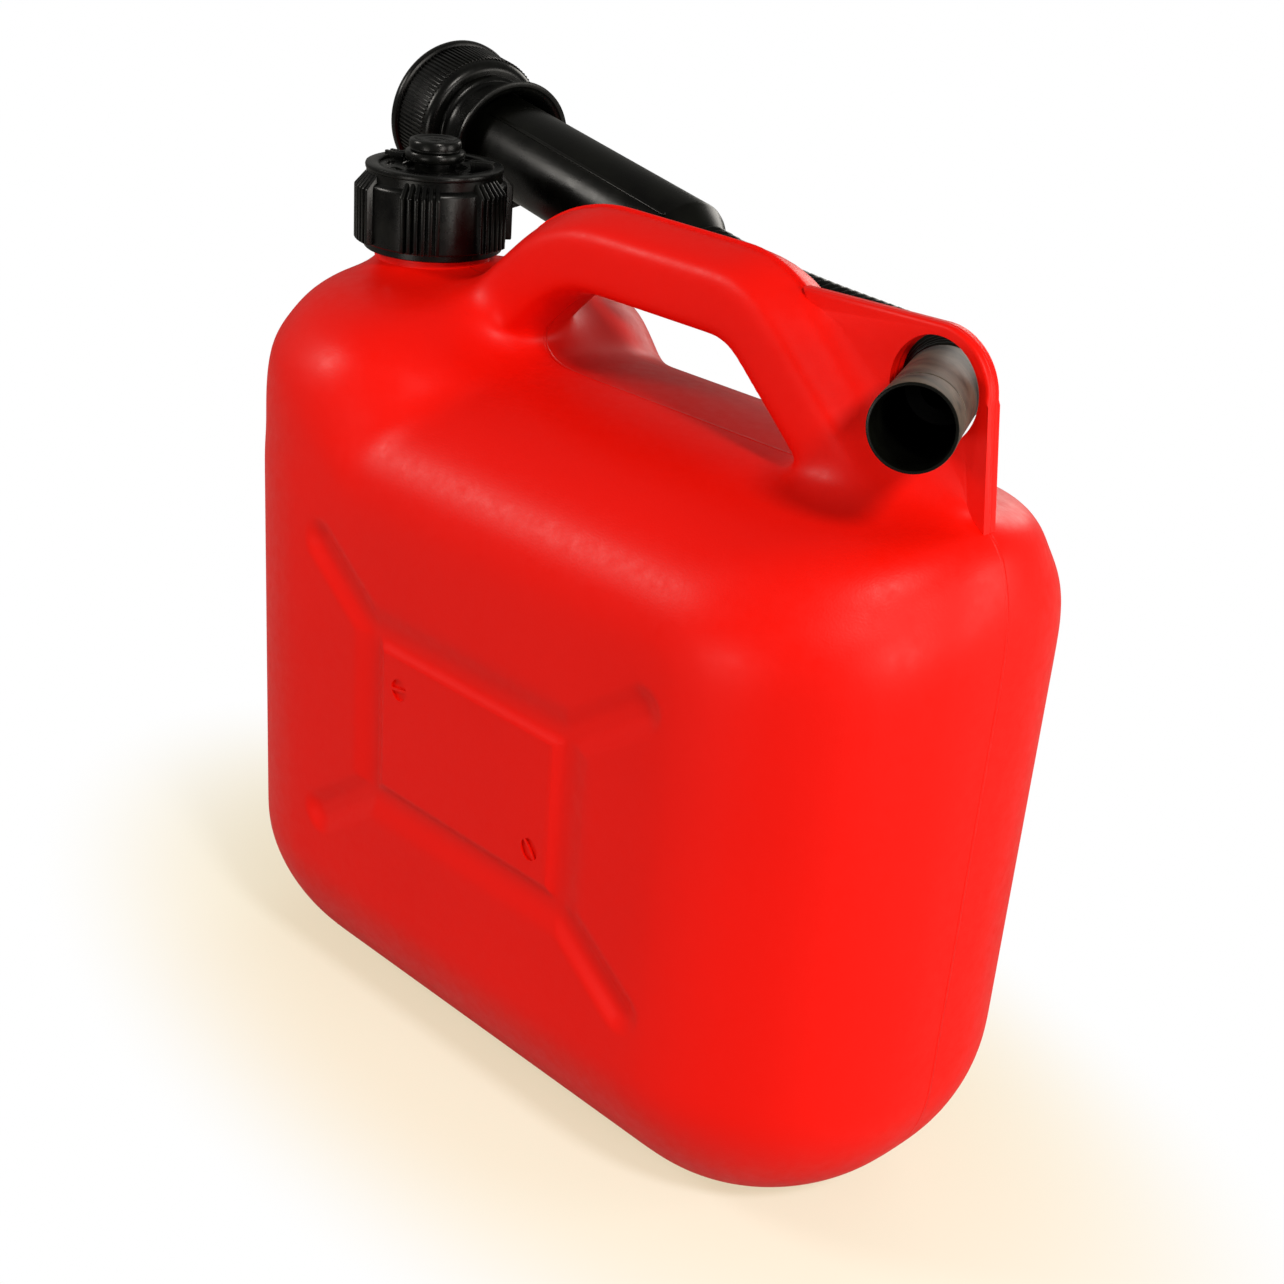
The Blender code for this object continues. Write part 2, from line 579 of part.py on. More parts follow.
def make_cap(black):
    """The screw cap: thin skirt, barrel with groups of grip ribs, recessed crown with lugs, inner thread."""
    roof_bottom = NECK_TOP + GASKET_THICKNESS + 2 * CLEARANCE
    roof_top = roof_bottom + CAP_ROOF
    vent_hole = VENT_STEM_RADIUS + CLEARANCE
    profile = [
        (CAP_BORE_RADIUS, CAP_SKIRT_BOTTOM), (CAP_SKIRT_RADIUS, CAP_SKIRT_BOTTOM),
        (CAP_SKIRT_RADIUS, CAP_BARREL_BOTTOM), (CAP_BARREL_RADIUS, CAP_BARREL_BOTTOM + EDGE),
        (CAP_BARREL_RADIUS, CAP_BARREL_TOP - EDGE), (CAP_CROWN_RADIUS + EDGE, CAP_BARREL_TOP + EDGE),
        (CAP_CROWN_RADIUS, CAP_TOP - EDGE), (CAP_CROWN_RADIUS - EDGE, CAP_TOP),
        (CAP_RECESS_RADIUS, CAP_TOP), (CAP_RECESS_RADIUS, roof_top),
        (vent_hole, roof_top), (vent_hole, roof_bottom), (CAP_BORE_RADIUS, roof_bottom),
    ]
    cap = add_object("filler_cap", turned([(r, z - NECK_TOP) for r, z in profile], FINE_SIDES), black)
    cap.location = (NECK_X, 0, NECK_TOP)
    low = CAP_BARREL_BOTTOM + EDGE
    group_pitch = 360 / CAP_RIB_GROUPS
    for group in range(CAP_RIB_GROUPS):
        for rib in range(CAP_RIBS_PER_GROUP):
            place = rib - (CAP_RIBS_PER_GROUP - 1) / 2
            angle = math.radians(CAP_RIB_PHASE_DEG + group * group_pitch + place * CAP_RIB_PITCH_DEG)
            side = [(CAP_CROWN_RADIUS - SINK, low), (CAP_RIB_RADIUS, low),
                    (CAP_RIB_RADIUS, CAP_RIB_TOP - CAP_RIB_CHAMFER), (CAP_CROWN_RADIUS + EDGE, CAP_RIB_TOP),
                    (CAP_CROWN_RADIUS - SINK, CAP_RIB_TOP)]
            tool = add_object(f"tool_rib_{group}_{rib}", prism(
                side, -CAP_RIB_WIDTH / 2, CAP_RIB_WIDTH / 2, "Y"))
            tool.matrix_world = Matrix.Translation((NECK_X, 0, 0)) @ Matrix.Rotation(angle, 4, "Z")
            boolean(cap, tool, "UNION")
    for lug in range(LUG_COUNT):
        angle = math.radians(360 / LUG_COUNT * (lug + 0.5))
        outline = [(-LUG_LENGTH / 2, -LUG_THICKNESS / 2), (LUG_LENGTH / 2, -LUG_THICKNESS / 2),
                   (LUG_LENGTH / 2, LUG_THICKNESS / 2), (-LUG_LENGTH / 2, LUG_THICKNESS / 2)]
        tool = add_object(f"tool_lug_{lug}", prism(outline, roof_top - SINK, roof_top + LUG_HEIGHT, "Z"))
        tool.matrix_world = (Matrix.Translation((NECK_X, 0, 0)) @ Matrix.Rotation(angle, 4, "Z")
                             @ Matrix.Translation((LUG_RADIUS, 0, 0)))
        boolean(cap, tool, "UNION")
    ridge = add_object("tool_cap_thread", thread_ridge(
        CAP_BORE_RADIUS, True, -THREAD_START_DEPTH - THREAD_PITCH / 2))
    ridge.location = (NECK_X, 0, NECK_TOP)
    boolean(cap, ridge, "UNION")
    return cap


def make_gasket(grey):
    """Flat sealing ring between the neck's rim and the cap's roof."""
    outer = CAP_BORE_RADIUS - CLEARANCE
    low, high = CLEARANCE, CLEARANCE + GASKET_THICKNESS
    profile = [(GASKET_INNER_RADIUS, low), (outer, low), (outer, high), (GASKET_INNER_RADIUS, high)]
    gasket = add_object("cap_gasket", turned(profile, FINE_SIDES), grey)
    gasket.location = (NECK_X, 0, NECK_TOP)
    return gasket


def make_vent_plug(black):
    """Press-in vent plug: disc head over a stem that passes through the cap's roof."""
    roof_bottom = GASKET_THICKNESS + 2 * CLEARANCE
    roof_top = roof_bottom + CAP_ROOF
    head_top = roof_top + VENT_STAND
    head_low = head_top - VENT_HEAD_THICKNESS
    foot = roof_bottom - VENT_DEPTH
    profile = [
        (0, foot), (VENT_STEM_RADIUS - EDGE, foot), (VENT_STEM_RADIUS, foot + EDGE),
        (VENT_STEM_RADIUS, head_low), (VENT_HEAD_RADIUS, head_low + EDGE),
        (VENT_HEAD_RADIUS, head_top - EDGE), (VENT_HEAD_RADIUS - EDGE, head_top), (0, head_top),
    ]
    plug = add_object("vent_plug", turned(profile, MEDIUM_SIDES), black)
    plug.location = (NECK_X, 0, NECK_TOP)
    return plug


def spout_frame():
    """Frame of the spout's straight part: Z along its axis from the nut's open end."""
    return axis_frame(NUT_MOUTH, TUBE_END - NUT_MOUTH)


def make_nut(black):
    """Nut: smooth bead at its open end, collar that holds the adaptor's flange, inner thread."""
    knurl_end = NUT_LENGTH - NUT_SHOULDER
    neck = NUT_RADIUS - EDGE
    dome = []
    for k in range(DOME_STEPS + 1):
        angle = math.pi / 2 * k / DOME_STEPS
        inset, rise = NUT_SHOULDER * (1 - math.cos(angle)), NUT_SHOULDER * math.sin(angle)
        dome.append((NUT_RADIUS - inset, knurl_end + rise))
    profile = [
        (CAP_BORE_RADIUS, 0), (NUT_BEAD_RADIUS - EDGE, 0), (NUT_BEAD_RADIUS, EDGE),
        (NUT_BEAD_RADIUS, NUT_BEAD_LENGTH - EDGE), (neck, NUT_BEAD_LENGTH),
        (neck, NUT_BEAD_LENGTH + EDGE), (NUT_RADIUS, NUT_BEAD_LENGTH + 2 * EDGE), *dome,
        (NUT_COLLAR_BORE, NUT_LENGTH), (NUT_COLLAR_BORE, NUT_FLANGE_SEAT), (CAP_BORE_RADIUS, NUT_FLANGE_SEAT),
    ]
    nut = add_object("spout_nut", turned(profile, FINE_SIDES), black)
    nut.matrix_world = spout_frame()
    ridge = add_object("tool_nut_thread", thread_ridge(CAP_BORE_RADIUS, True, THREAD_ROOT_WIDTH))
    ridge.matrix_world = spout_frame()
    boolean(nut, ridge, "UNION")
    return nut


def make_spout_gasket(grey):
    """Sealing ring that lies against the adaptor's flange, inside the nut."""
    outer = CAP_BORE_RADIUS - THREAD_HEIGHT - CLEARANCE
    high = NUT_FLANGE_SEAT - FLANGE_THICKNESS - 2 * CLEARANCE
    low = high - GASKET_THICKNESS
    profile = [(GASKET_INNER_RADIUS, low), (outer, low), (outer, high), (GASKET_INNER_RADIUS, high)]
    gasket = add_object("spout_gasket", turned(profile, FINE_SIDES), grey)
    gasket.matrix_world = spout_frame()
    return gasket


def make_adaptor(black):
    """Adaptor: flange held by the nut, step ring, flared bell and the spigot that carries the tube."""
    flange_high = NUT_FLANGE_SEAT - CLEARANCE
    flange_low = flange_high - FLANGE_THICKNESS
    ring_low = NUT_LENGTH + CLEARANCE
    ring_high = ring_low + STEP_RING_LENGTH
    rim = ring_high + BELL_LENGTH
    neck_radius = TUBE_RADIUS + CLEARANCE + BELL_WALL
    flare = []
    for k in range(FLARE_STEPS + 1):
        angle = math.pi / 2 * k / FLARE_STEPS
        radius = neck_radius + (BELL_RIM_RADIUS - neck_radius) * (1 - math.cos(angle))
        flare.append((radius, ring_high + EDGE + (BELL_LENGTH - 3 * EDGE) * math.sin(angle)))
    inside = [(r - BELL_WALL, z + EDGE) for r, z in reversed(flare)]
    floor = inside[-1][1]
    profile = [
        (SPIGOT_BORE, flange_low), (FLANGE_RADIUS, flange_low), (FLANGE_RADIUS, flange_high),
        (ADAPTOR_NECK_RADIUS, flange_high), (ADAPTOR_NECK_RADIUS, ring_low),
        (STEP_RING_RADIUS, ring_low), (STEP_RING_RADIUS, ring_high - EDGE), (neck_radius, ring_high),
        *flare, (BELL_RIM_RADIUS, rim - EDGE), (BELL_RIM_RADIUS - EDGE, rim),
        (BELL_RIM_RADIUS - BELL_WALL, rim - EDGE / 2), *inside[:-1],
        (TUBE_RADIUS + CLEARANCE, floor), (SPIGOT_RADIUS, floor), (SPIGOT_RADIUS, floor + SPIGOT_LENGTH),
        (SPIGOT_BORE, floor + SPIGOT_LENGTH),
    ]
    adaptor = add_object("spout_adaptor", turned(profile, FINE_SIDES), black)
    adaptor.matrix_world = spout_frame()
    return adaptor, floor


def nozzle_radius():
    """Radius of the nozzles that fit the hose's bore, whose wall is flat between its corners."""
    return HOSE_BORE_RADIUS * math.cos(math.pi / HOSE_SIDES) - CLEARANCE


def make_tube(black, floor):
    """Wide rigid tube: socket over the adaptor's spigot, straight run, taper and the hose's nozzle."""
    end = (TUBE_END - NUT_MOUTH).length
    start = floor + CLEARANCE
    bore = TUBE_RADIUS - TUBE_WALL
    nozzle = nozzle_radius()
    shoulder = end + TAPER_LENGTH
    profile = [
        (bore, start), (TUBE_RADIUS, start), (TUBE_RADIUS, end - EDGE), (TUBE_RADIUS - EDGE, end),
        (TAPER_RADIUS, shoulder), (nozzle, shoulder), (nozzle, shoulder + NOZZLE_LENGTH),
        (nozzle - NOZZLE_WALL, shoulder + NOZZLE_LENGTH), (nozzle - NOZZLE_WALL, shoulder - TUBE_WALL),
        (bore, end - TUBE_WALL),
    ]
    tube = add_object("spout_tube", turned(profile, FINE_SIDES), black)
    tube.matrix_world = spout_frame()
    return tube


def tip_direction():
    """Unit vector of the tip's axis: out through the fin's hole, turned to the rear, rising a little."""
    turn = math.radians(TIP_TURN_DEG)
    rise = math.radians(TIP_RISE_DEG)
    return Vector((math.cos(turn) * math.cos(rise), -math.sin(turn) * math.cos(rise), math.sin(rise)))


def hose_ends():
    """Both ends of the hose with the directions in which it leaves them, both pointing along the hose."""
    axis = (TUBE_END - NUT_MOUTH).normalized()
    start = TUBE_END + axis * (TAPER_LENGTH + CLEARANCE)
    out = tip_direction()
    hole = Vector((FIN_HOLE_X, 0, FIN_HOLE_Z - TIP_SAG))
    end = hole - out * (TIP_INSET + CLEARANCE)
    return start, axis, end, out


def hose_centre_line():
    """Points and distances along the hose: straight, a long easy sweep, a bend and straight again."""
    start, axis, end, out = hose_ends()
    first = start + axis * HOSE_STRAIGHT
    last = end - out * HOSE_STRAIGHT
    span = (last - first).length
    handle_first = first + axis * HOSE_SWEEP_SHARE * span
    handle_last = last - out * HOSE_BEND_SHARE * span
    samples = [start.lerp(first, k / STRAIGHT_SAMPLES) for k in range(STRAIGHT_SAMPLES)]
    for k in range(SWEEP_SAMPLES + 1):
        t = k / SWEEP_SAMPLES
        u = 1 - t
        middle = handle_first * u + handle_last * t
        samples.append(first * u ** 3 + middle * 3 * t * u + last * t ** 3)
    samples += [last.lerp(end, k / STRAIGHT_SAMPLES) for k in range(1, STRAIGHT_SAMPLES + 1)]
    lengths = [0.0]
    for a, b in zip(samples, samples[1:]):
        lengths.append(lengths[-1] + (b - a).length)
    return samples, lengths


def point_at(samples, lengths, distance):
    """The centre line's point at a distance from its start."""
    for i in range(1, len(lengths)):
        if lengths[i] >= distance:
            share = (distance - lengths[i - 1]) / (lengths[i] - lengths[i - 1])
            return samples[i - 1].lerp(samples[i], share)
    return samples[-1]


def curve_tube(name, points, radii, depth):
    """A filled round tube along a poly curve whose radius changes from point to point."""
    data = bpy.data.curves.new(name, "CURVE")
    data.dimensions = "3D"
    data.bevel_depth = depth
    data.bevel_resolution = HOSE_SIDES // 2 - 2
    data.use_fill_caps = True
    spline = data.splines.new("POLY")
    spline.points.add(len(points) - 1)
    for slot, point, radius in zip(spline.points, points, radii):
        slot.co = (*point, 1.0)
        slot.radius = radius / depth
    obj = bpy.data.objects.new(name, data)
    bpy.context.scene.collection.objects.link(obj)
    return obj


def as_mesh(obj, name, mat=None):
    """Replaces a curve object by a mesh object of the same shape."""
    graph = bpy.context.evaluated_depsgraph_get()
    mesh = bpy.data.meshes.new_from_object(obj.evaluated_get(graph))
    bpy.data.objects.remove(obj, do_unlink=True)
    bm = bmesh.new()
    bm.from_mesh(mesh)
    bmesh.ops.remove_doubles(bm, verts=bm.verts, dist=1e-7)
    return add_object(name, bm, mat)


def make_hose(black):
    """Corrugated hose from the tube's nozzle to the tip, with its ribs and its bore."""
    samples, lengths = hose_centre_line()
    total = lengths[-1]
    ribs = round(total / HOSE_RIB_PITCH)
    points, radii = [], []
    for k in range(2 * ribs + 1):
        distance = total * k / (2 * ribs)
        points.append(point_at(samples, lengths, distance))
        radii.append(HOSE_RIB_RADIUS if k % 2 else HOSE_ROOT_RADIUS)
    hose = as_mesh(curve_tube("hose_curve", points, radii, HOSE_RIB_RADIUS), "flex_hose", black)
    coarse = round(total / HOSE_BORE_RADIUS)
    path = [point_at(samples, lengths, total * k / coarse) for k in range(coarse + 1)]
    path[0] = samples[0] - (samples[1] - samples[0]).normalized() * BORE_OVERRUN
    path[-1] = samples[-1] + (samples[-1] - samples[-2]).normalized() * BORE_OVERRUN
    radii = [HOSE_BORE_RADIUS] * len(path)
    bore = as_mesh(curve_tube("bore_curve", path, radii, HOSE_BORE_RADIUS), "tool_hose_bore")
    boolean(hose, bore, "DIFFERENCE")
    return hose


def make_tip(black):
    """Smooth tip tube: spigot inside the hose, small collar behind the fin, open end in front of it."""
    _, _, end, out = hose_ends()
    length = TIP_INSET + TIP_STICK_OUT
    nozzle = nozzle_radius()
    profile = [
        (nozzle - NOZZLE_WALL, -NOZZLE_LENGTH), (nozzle, -NOZZLE_LENGTH), (nozzle, CLEARANCE),
        (TIP_RADIUS, CLEARANCE), (TIP_RADIUS, length - EDGE), (TIP_RADIUS - EDGE / 2, length),
        (TIP_RADIUS - TIP_WALL, length), (TIP_RADIUS - TIP_WALL, TIP_SHOULDER + TIP_WALL),
        (nozzle - NOZZLE_WALL, TIP_SHOULDER),
    ]
    tip = add_object("spout_tip", turned(profile, MEDIUM_SIDES), black)
    tip.matrix_world = axis_frame(end, out)
    return tip


def main():
    clear_scene()
    red = material("red_polyethylene", (0.72, 0.012, 0.004), 0.42)
    cap_black = material("black_polypropylene", (0.012, 0.012, 0.012), 0.38)
    spout_black = material("black_polyethylene", (0.01, 0.01, 0.009), 0.3)
    grey = material("grey_gasket", (0.12, 0.12, 0.12), 0.7)
    make_canister(red)
    make_cap(cap_black)
    make_gasket(grey)
    make_vent_plug(cap_black)
    make_nut(cap_black)
    make_spout_gasket(grey)
    _, floor = make_adaptor(cap_black)
    make_tube(spout_black, floor)
    make_hose(spout_black)
    make_tip(spout_black)


main()
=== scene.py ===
from math import cos, hypot, pi, radians, sin, tan

import bmesh
import bpy
import numpy as np
from mathutils import Matrix, Vector


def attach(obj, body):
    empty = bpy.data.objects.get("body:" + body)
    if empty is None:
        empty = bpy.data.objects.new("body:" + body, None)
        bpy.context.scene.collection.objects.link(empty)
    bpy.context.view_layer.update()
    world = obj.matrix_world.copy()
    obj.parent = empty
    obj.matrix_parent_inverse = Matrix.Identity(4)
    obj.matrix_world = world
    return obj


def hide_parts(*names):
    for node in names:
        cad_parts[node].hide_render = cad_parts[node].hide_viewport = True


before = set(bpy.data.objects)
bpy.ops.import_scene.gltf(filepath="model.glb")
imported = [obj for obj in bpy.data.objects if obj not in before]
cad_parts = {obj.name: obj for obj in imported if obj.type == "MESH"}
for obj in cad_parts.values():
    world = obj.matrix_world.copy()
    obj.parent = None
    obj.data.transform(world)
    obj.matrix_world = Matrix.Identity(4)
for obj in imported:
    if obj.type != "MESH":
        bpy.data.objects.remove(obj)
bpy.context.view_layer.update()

# Canister: one hollow moulding of red polyethylene, blown in a two-part mould, so every edge is round, every
# corner between two forms is filled and a fine parting line runs round its middle. Its handle is an arch from
# behind the neck to the rear shoulder, with a thin fin behind it that holds the spout's tip.
MM = 0.001
LENGTH, WIDTH, LEDGE, HUMP = 265 * MM, 130 * MM, 209.5 * MM, 227 * MM
BASE_ROUND, CORNER_ROUND, LEDGE_DROP, HUMP_DROP = 46 * MM, 58 * MM, 40 * MM, 45 * MM
HUMP_FOOT, HUMP_RAMP = -38 * MM, 24 / 17.5
NECK_X = -95 * MM
CORNER_STEPS, BASE_STEPS, SHOULDER_STEPS = 14, 14, 22


def shoulder(z, top, drop, reach, power):
    """How far a rounded shoulder has drawn in at a height."""
    rise = min(max((z - top + drop) / drop, 0.0), 1.0)
    return reach * (1 - (1 - rise ** power) ** (1 / power))


def levels(top, drop, power, steps):
    """Heights that space the rings of a shoulder evenly."""
    return [top - drop + drop * sin(pi / 2 * k / steps) ** (2 / power) for k in range(steps + 1)]


def level_ring(rear, front, half_width, rear_corner, front_corner, z):
    """One level outline of the moulding: a rectangle with wide round corners."""
    front_corner = min(front_corner, half_width - 0.25 * MM)
    rear_corner = min(rear_corner, half_width - 0.25 * MM, rear - front - front_corner - 0.25 * MM)
    corners = ((rear - rear_corner, 1, rear_corner), (front + front_corner, 1, front_corner),
               (front + front_corner, -1, front_corner), (rear - rear_corner, -1, rear_corner))
    ring = []
    for quarter, (x, side, radius) in enumerate(corners):
        for k in range(CORNER_STEPS + 1):
            angle = pi / 2 * (quarter + k / CORNER_STEPS)
            y = side * (half_width - radius) + radius * sin(angle)
            ring.append(Vector((x + radius * cos(angle), y, z)))
    return ring


def skin(bm, rings):
    """Lays a circle of points on the first ring, pulls it from ring to ring and closes both ends."""
    loop = bmesh.ops.create_circle(bm, segments=len(rings[0]), radius=MM)["verts"]
    edges = list({edge for vert in loop for edge in vert.link_edges})
    for vert, point in zip(loop, rings[0]):
        vert.co = point
    bmesh.ops.contextual_create(bm, geom=edges)
    for ring in rings[1:]:
        grown = bmesh.ops.extrude_edge_only(bm, edges=edges)["geom"]
        fresh = {item for item in grown if isinstance(item, bmesh.types.BMVert)}
        edges = [item for item in grown if isinstance(item, bmesh.types.BMEdge)
                 and item.verts[0] in fresh and item.verts[1] in fresh]
        above = []
        for vert, point in zip(loop, ring):
            twin = next(edge.other_vert(vert) for edge in vert.link_edges if edge.other_vert(vert) in fresh)
            twin.co = point
            above.append(twin)
        loop = above
    bmesh.ops.contextual_create(bm, geom=edges)
    bmesh.ops.recalc_face_normals(bm, faces=bm.faces)


def piece(name, bm, *materials, sharp=35):
    """Turns a bmesh into a smooth-shaded object whose edges above an angle stay sharp."""
    mesh = bpy.data.meshes.new(name)
    bm.to_mesh(mesh)
    bm.free()
    mesh.shade_smooth()
    mesh.set_sharp_from_angle(angle=radians(sharp))
    for material in materials:
        mesh.materials.append(material)
    made = bpy.data.objects.new(name, mesh)
    bpy.context.scene.collection.objects.link(made)
    return made


def settle(made):
    """Applies an object's modifiers and keeps the result as its mesh."""
    graph = bpy.context.evaluated_depsgraph_get()
    result = bpy.data.meshes.new_from_object(made.evaluated_get(graph))
    made.modifiers.clear()
    made.data = result
    return made


def cut_or_join(made, tool, operation):
    """An exact Boolean with another object, which is then removed."""
    modifier = made.modifiers.new(operation, "BOOLEAN")
    modifier.operation = operation
    modifier.solver = "EXACT"
    modifier.object = tool
    settle(made)
    bpy.data.objects.remove(tool, do_unlink=True)


blank = bmesh.new()
rings = []
for k in range(BASE_STEPS + 1):
    angle = pi / 2 * k / BASE_STEPS
    inset = BASE_ROUND * (1 - sin(angle))
    side = shoulder(cos(angle), 1, 1, 37 * MM, 1.6)
    rings.append(level_ring(LENGTH / 2 - inset, inset - LENGTH / 2, WIDTH / 2 - side, CORNER_ROUND - inset,
                            CORNER_ROUND - inset, BASE_ROUND * (1 - cos(angle))))
for z in levels(LEDGE, LEDGE_DROP, 2.5, SHOULDER_STEPS):
    side = shoulder(z, LEDGE, LEDGE_DROP, WIDTH / 2 - 4.5 * MM, 2.5)
    end = LENGTH / 2 - shoulder(z, LEDGE, 32.5 * MM, 12.5 * MM, 2)
    rings.append(level_ring(end + 2 * MM, -end, WIDTH / 2 - side, CORNER_ROUND, CORNER_ROUND, z))
skin(blank, rings)

rings = []
hump_levels = levels(HUMP, HUMP_DROP, 3.1, SHOULDER_STEPS)
for z in [hump_levels[0] - HUMP_DROP, *hump_levels]:
    side = shoulder(z, HUMP, HUMP_DROP, WIDTH / 2 - 8.4 * MM, 3.1)
    end = 0.4 * MM - LENGTH / 2 + shoulder(z, HUMP, 24.5 * MM, 29.5 * MM, 2)
    rear = HUMP_FOOT - HUMP_RAMP * (max(z, hump_levels[0]) - LEDGE)
    rings.append(level_ring(rear, end, WIDTH / 2 - 0.4 * MM - side, 60 * MM, CORNER_ROUND, z))
skin(blank, rings)

# The handle's middle line in side view, in mm: x, z, depth of the section and radius of the bend there.
HANDLE_LINE = ((-76, 205, 27.5, 0), (-27, 249.25, 24.5, 48), (46, 249.25, 24.5, 26), (96, 205, 25, 26),
               (103, 185, 25, 0))
BEND_STEPS, HANDLE_SIDES, HANDLE_HALF = 12, 40, 14
track = [(*HANDLE_LINE[0][:2], HANDLE_LINE[0][2])]
for before, here, after in zip(HANDLE_LINE, HANDLE_LINE[1:], HANDLE_LINE[2:]):
    corner = Vector(here[:2])
    into, out = (corner - Vector(before[:2])).normalized(), (Vector(after[:2]) - corner).normalized()
    turn, inward = into.angle(out), Vector((into.y, -into.x))
    centre = corner - into * here[3] * tan(turn / 2) + inward * here[3]
    for k in range(BEND_STEPS + 1):
        point = centre + Matrix.Rotation(-turn * k / BEND_STEPS, 2) @ (-inward * here[3])
        track.append((point.x, point.y, here[2]))
track.append((*HANDLE_LINE[-1][:2], HANDLE_LINE[-1][2]))
# Its section is a round crown that falls 5.5 mm to each side, over a flatter underside.
rings = []
for i, (x, z, depth) in enumerate(track):
    along = (Vector(track[min(i + 1, len(track) - 1)][:2]) - Vector(track[max(i - 1, 0)][:2])).normalized()
    ring = []
    for k in range(HANDLE_SIDES):
        across, height = cos(2 * pi * k / HANDLE_SIDES), sin(2 * pi * k / HANDLE_SIDES)
        if height >= 0:
            off = depth / 2 - 5.5 * abs(across) ** 1.25 - 2.5 * (1 - height) ** 4
        else:
            off = -depth / 2 + 3.5 * (1 + height)
        ring.append(Vector((x - along.y * off, HANDLE_HALF * across, z + along.x * off)) * MM)
    rings.append(ring)
skin(blank, rings)

FIN_HOLE = Vector((103.7, 0, 240)) * MM
FIN_ROUND, ARC_STEPS, FIN_SHRINK = 16.8 * MM, 16, 2.5 * MM
fin_edge = [(58 * MM, 255.3 * MM)]
for k in range(ARC_STEPS + 1):
    angle = pi / 2 * k / ARC_STEPS
    fin_edge.append((FIN_HOLE.x + FIN_ROUND * sin(angle), FIN_HOLE.z + FIN_ROUND * cos(angle)))
fin_edge += [(127.5 * MM, 185.5 * MM), (99 * MM, 185.5 * MM)]


def plate(bm, outline, half):
    """An upright flat plate in the mid-plane from its side view."""
    made = bmesh.ops.create_circle(bm, segments=len(outline), radius=MM, cap_ends=True)["verts"]
    for vert, (x, z) in zip(made, outline):
        vert.co = (x, -half, z)
    face = list({face for vert in made for face in vert.link_faces})
    grown = [g for g in bmesh.ops.extrude_face_region(bm, geom=face)["geom"]
             if isinstance(g, bmesh.types.BMVert)]
    bmesh.ops.translate(bm, vec=(0, 2 * half, 0), verts=grown)


def bar(bm, radius, length, where, sides=96):
    """A round bar about the upright axis of a place."""
    bmesh.ops.create_cone(bm, segments=sides, radius1=radius, radius2=radius, depth=length, cap_ends=True,
                          matrix=where)


# The fin's slim core and a stub of the neck go in before the forms are melted into one, so that fillets grow
# where they leave the body. The crisp fin plate and the neck itself are added afterwards.
plate(blank, [(x - FIN_SHRINK, z - FIN_SHRINK) for x, z in fin_edge], 2 * MM)
bar(blank, 17.6 * MM, 30 * MM, Matrix.Translation((NECK_X, 0, 216 * MM)), sides=64)
bmesh.ops.recalc_face_normals(blank, faces=blank.faces)
canister = piece("canister", blank)
remesh = canister.modifiers.new("parison", "REMESH")
remesh.mode = "VOXEL"
remesh.voxel_size = 1.9 * MM
settle(canister)


def relax(mesh, rounds, weight, filling=False):
    """Draws each point towards its neighbours; with filling, only where that fills a hollow corner."""
    count = len(mesh.vertices)
    co = np.empty(count * 3)
    mesh.vertices.foreach_get("co", co)
    co = co.reshape(-1, 3)
    ends = np.empty(len(mesh.edges) * 2, int)
    mesh.edges.foreach_get("vertices", ends)
    a, b = ends.reshape(-1, 2).T
    linked = (np.bincount(a, minlength=count) + np.bincount(b, minlength=count))[:, None]
    share = np.asarray(weight(co))[:, None] if callable(weight) else weight
    for k in range(rounds):
        if filling and k % 4 == 0:
            mesh.vertices.foreach_set("co", co.ravel())
            mesh.update()
            normals = np.empty(count * 3)
            mesh.vertices.foreach_get("normal", normals)
            normals = normals.reshape(-1, 3)
        total = np.stack([np.bincount(a, co[b, i], count) + np.bincount(b, co[a, i], count)
                          for i in range(3)], 1)
        move = (total / linked - co) * share
        if filling:
            move *= (np.einsum("ij,ij->i", move, normals) > 0)[:, None]
        co = co + move
    mesh.vertices.foreach_set("co", co.ravel())
    mesh.update()


def soft(share):
    """Runs from 0 to 1 with level ends."""
    share = np.clip(share, 0, 1)
    return share * share * (3 - 2 * share)


def near(point, radius):
    """Weight that fades from 1 at a place, in mm, to 0 at a radius from it."""
    centre = np.array(point) * MM
    return lambda co: soft(1.5 - 1.5 * np.linalg.norm((co - centre) * (1, 0.6, 1), axis=1) / (radius * MM))


# Fillets: wide ones where the handle meets the hump and the rear shoulder, one round the neck's foot, and a
# little softening everywhere.
relax(canister.data, 3, 0.5)
relax(canister.data, 50, near((-56, 0, 218), 30), filling=True)
relax(canister.data, 50, near((95, 0, 210), 30), filling=True)
relax(canister.data, 10, near((-95, 0, 228), 34), filling=True)
relax(canister.data, 8, 1.0, filling=True)
relax(canister.data, 4, 0.5)

edges = bmesh.new()
plate(edges, fin_edge, 2.4 * MM)
rims = [edge for edge in edges.edges
        if abs(edge.verts[0].co.y - edge.verts[1].co.y) < 1e-6 and edge.verts[0].co.z > 200 * MM]
bmesh.ops.bevel(edges, geom=rims, offset=1.1 * MM, segments=3, profile=0.5, affect="EDGES", material=-1)
bmesh.ops.recalc_face_normals(edges, faces=edges.faces)
cut_or_join(canister, piece("fin_plate", edges), "UNION")

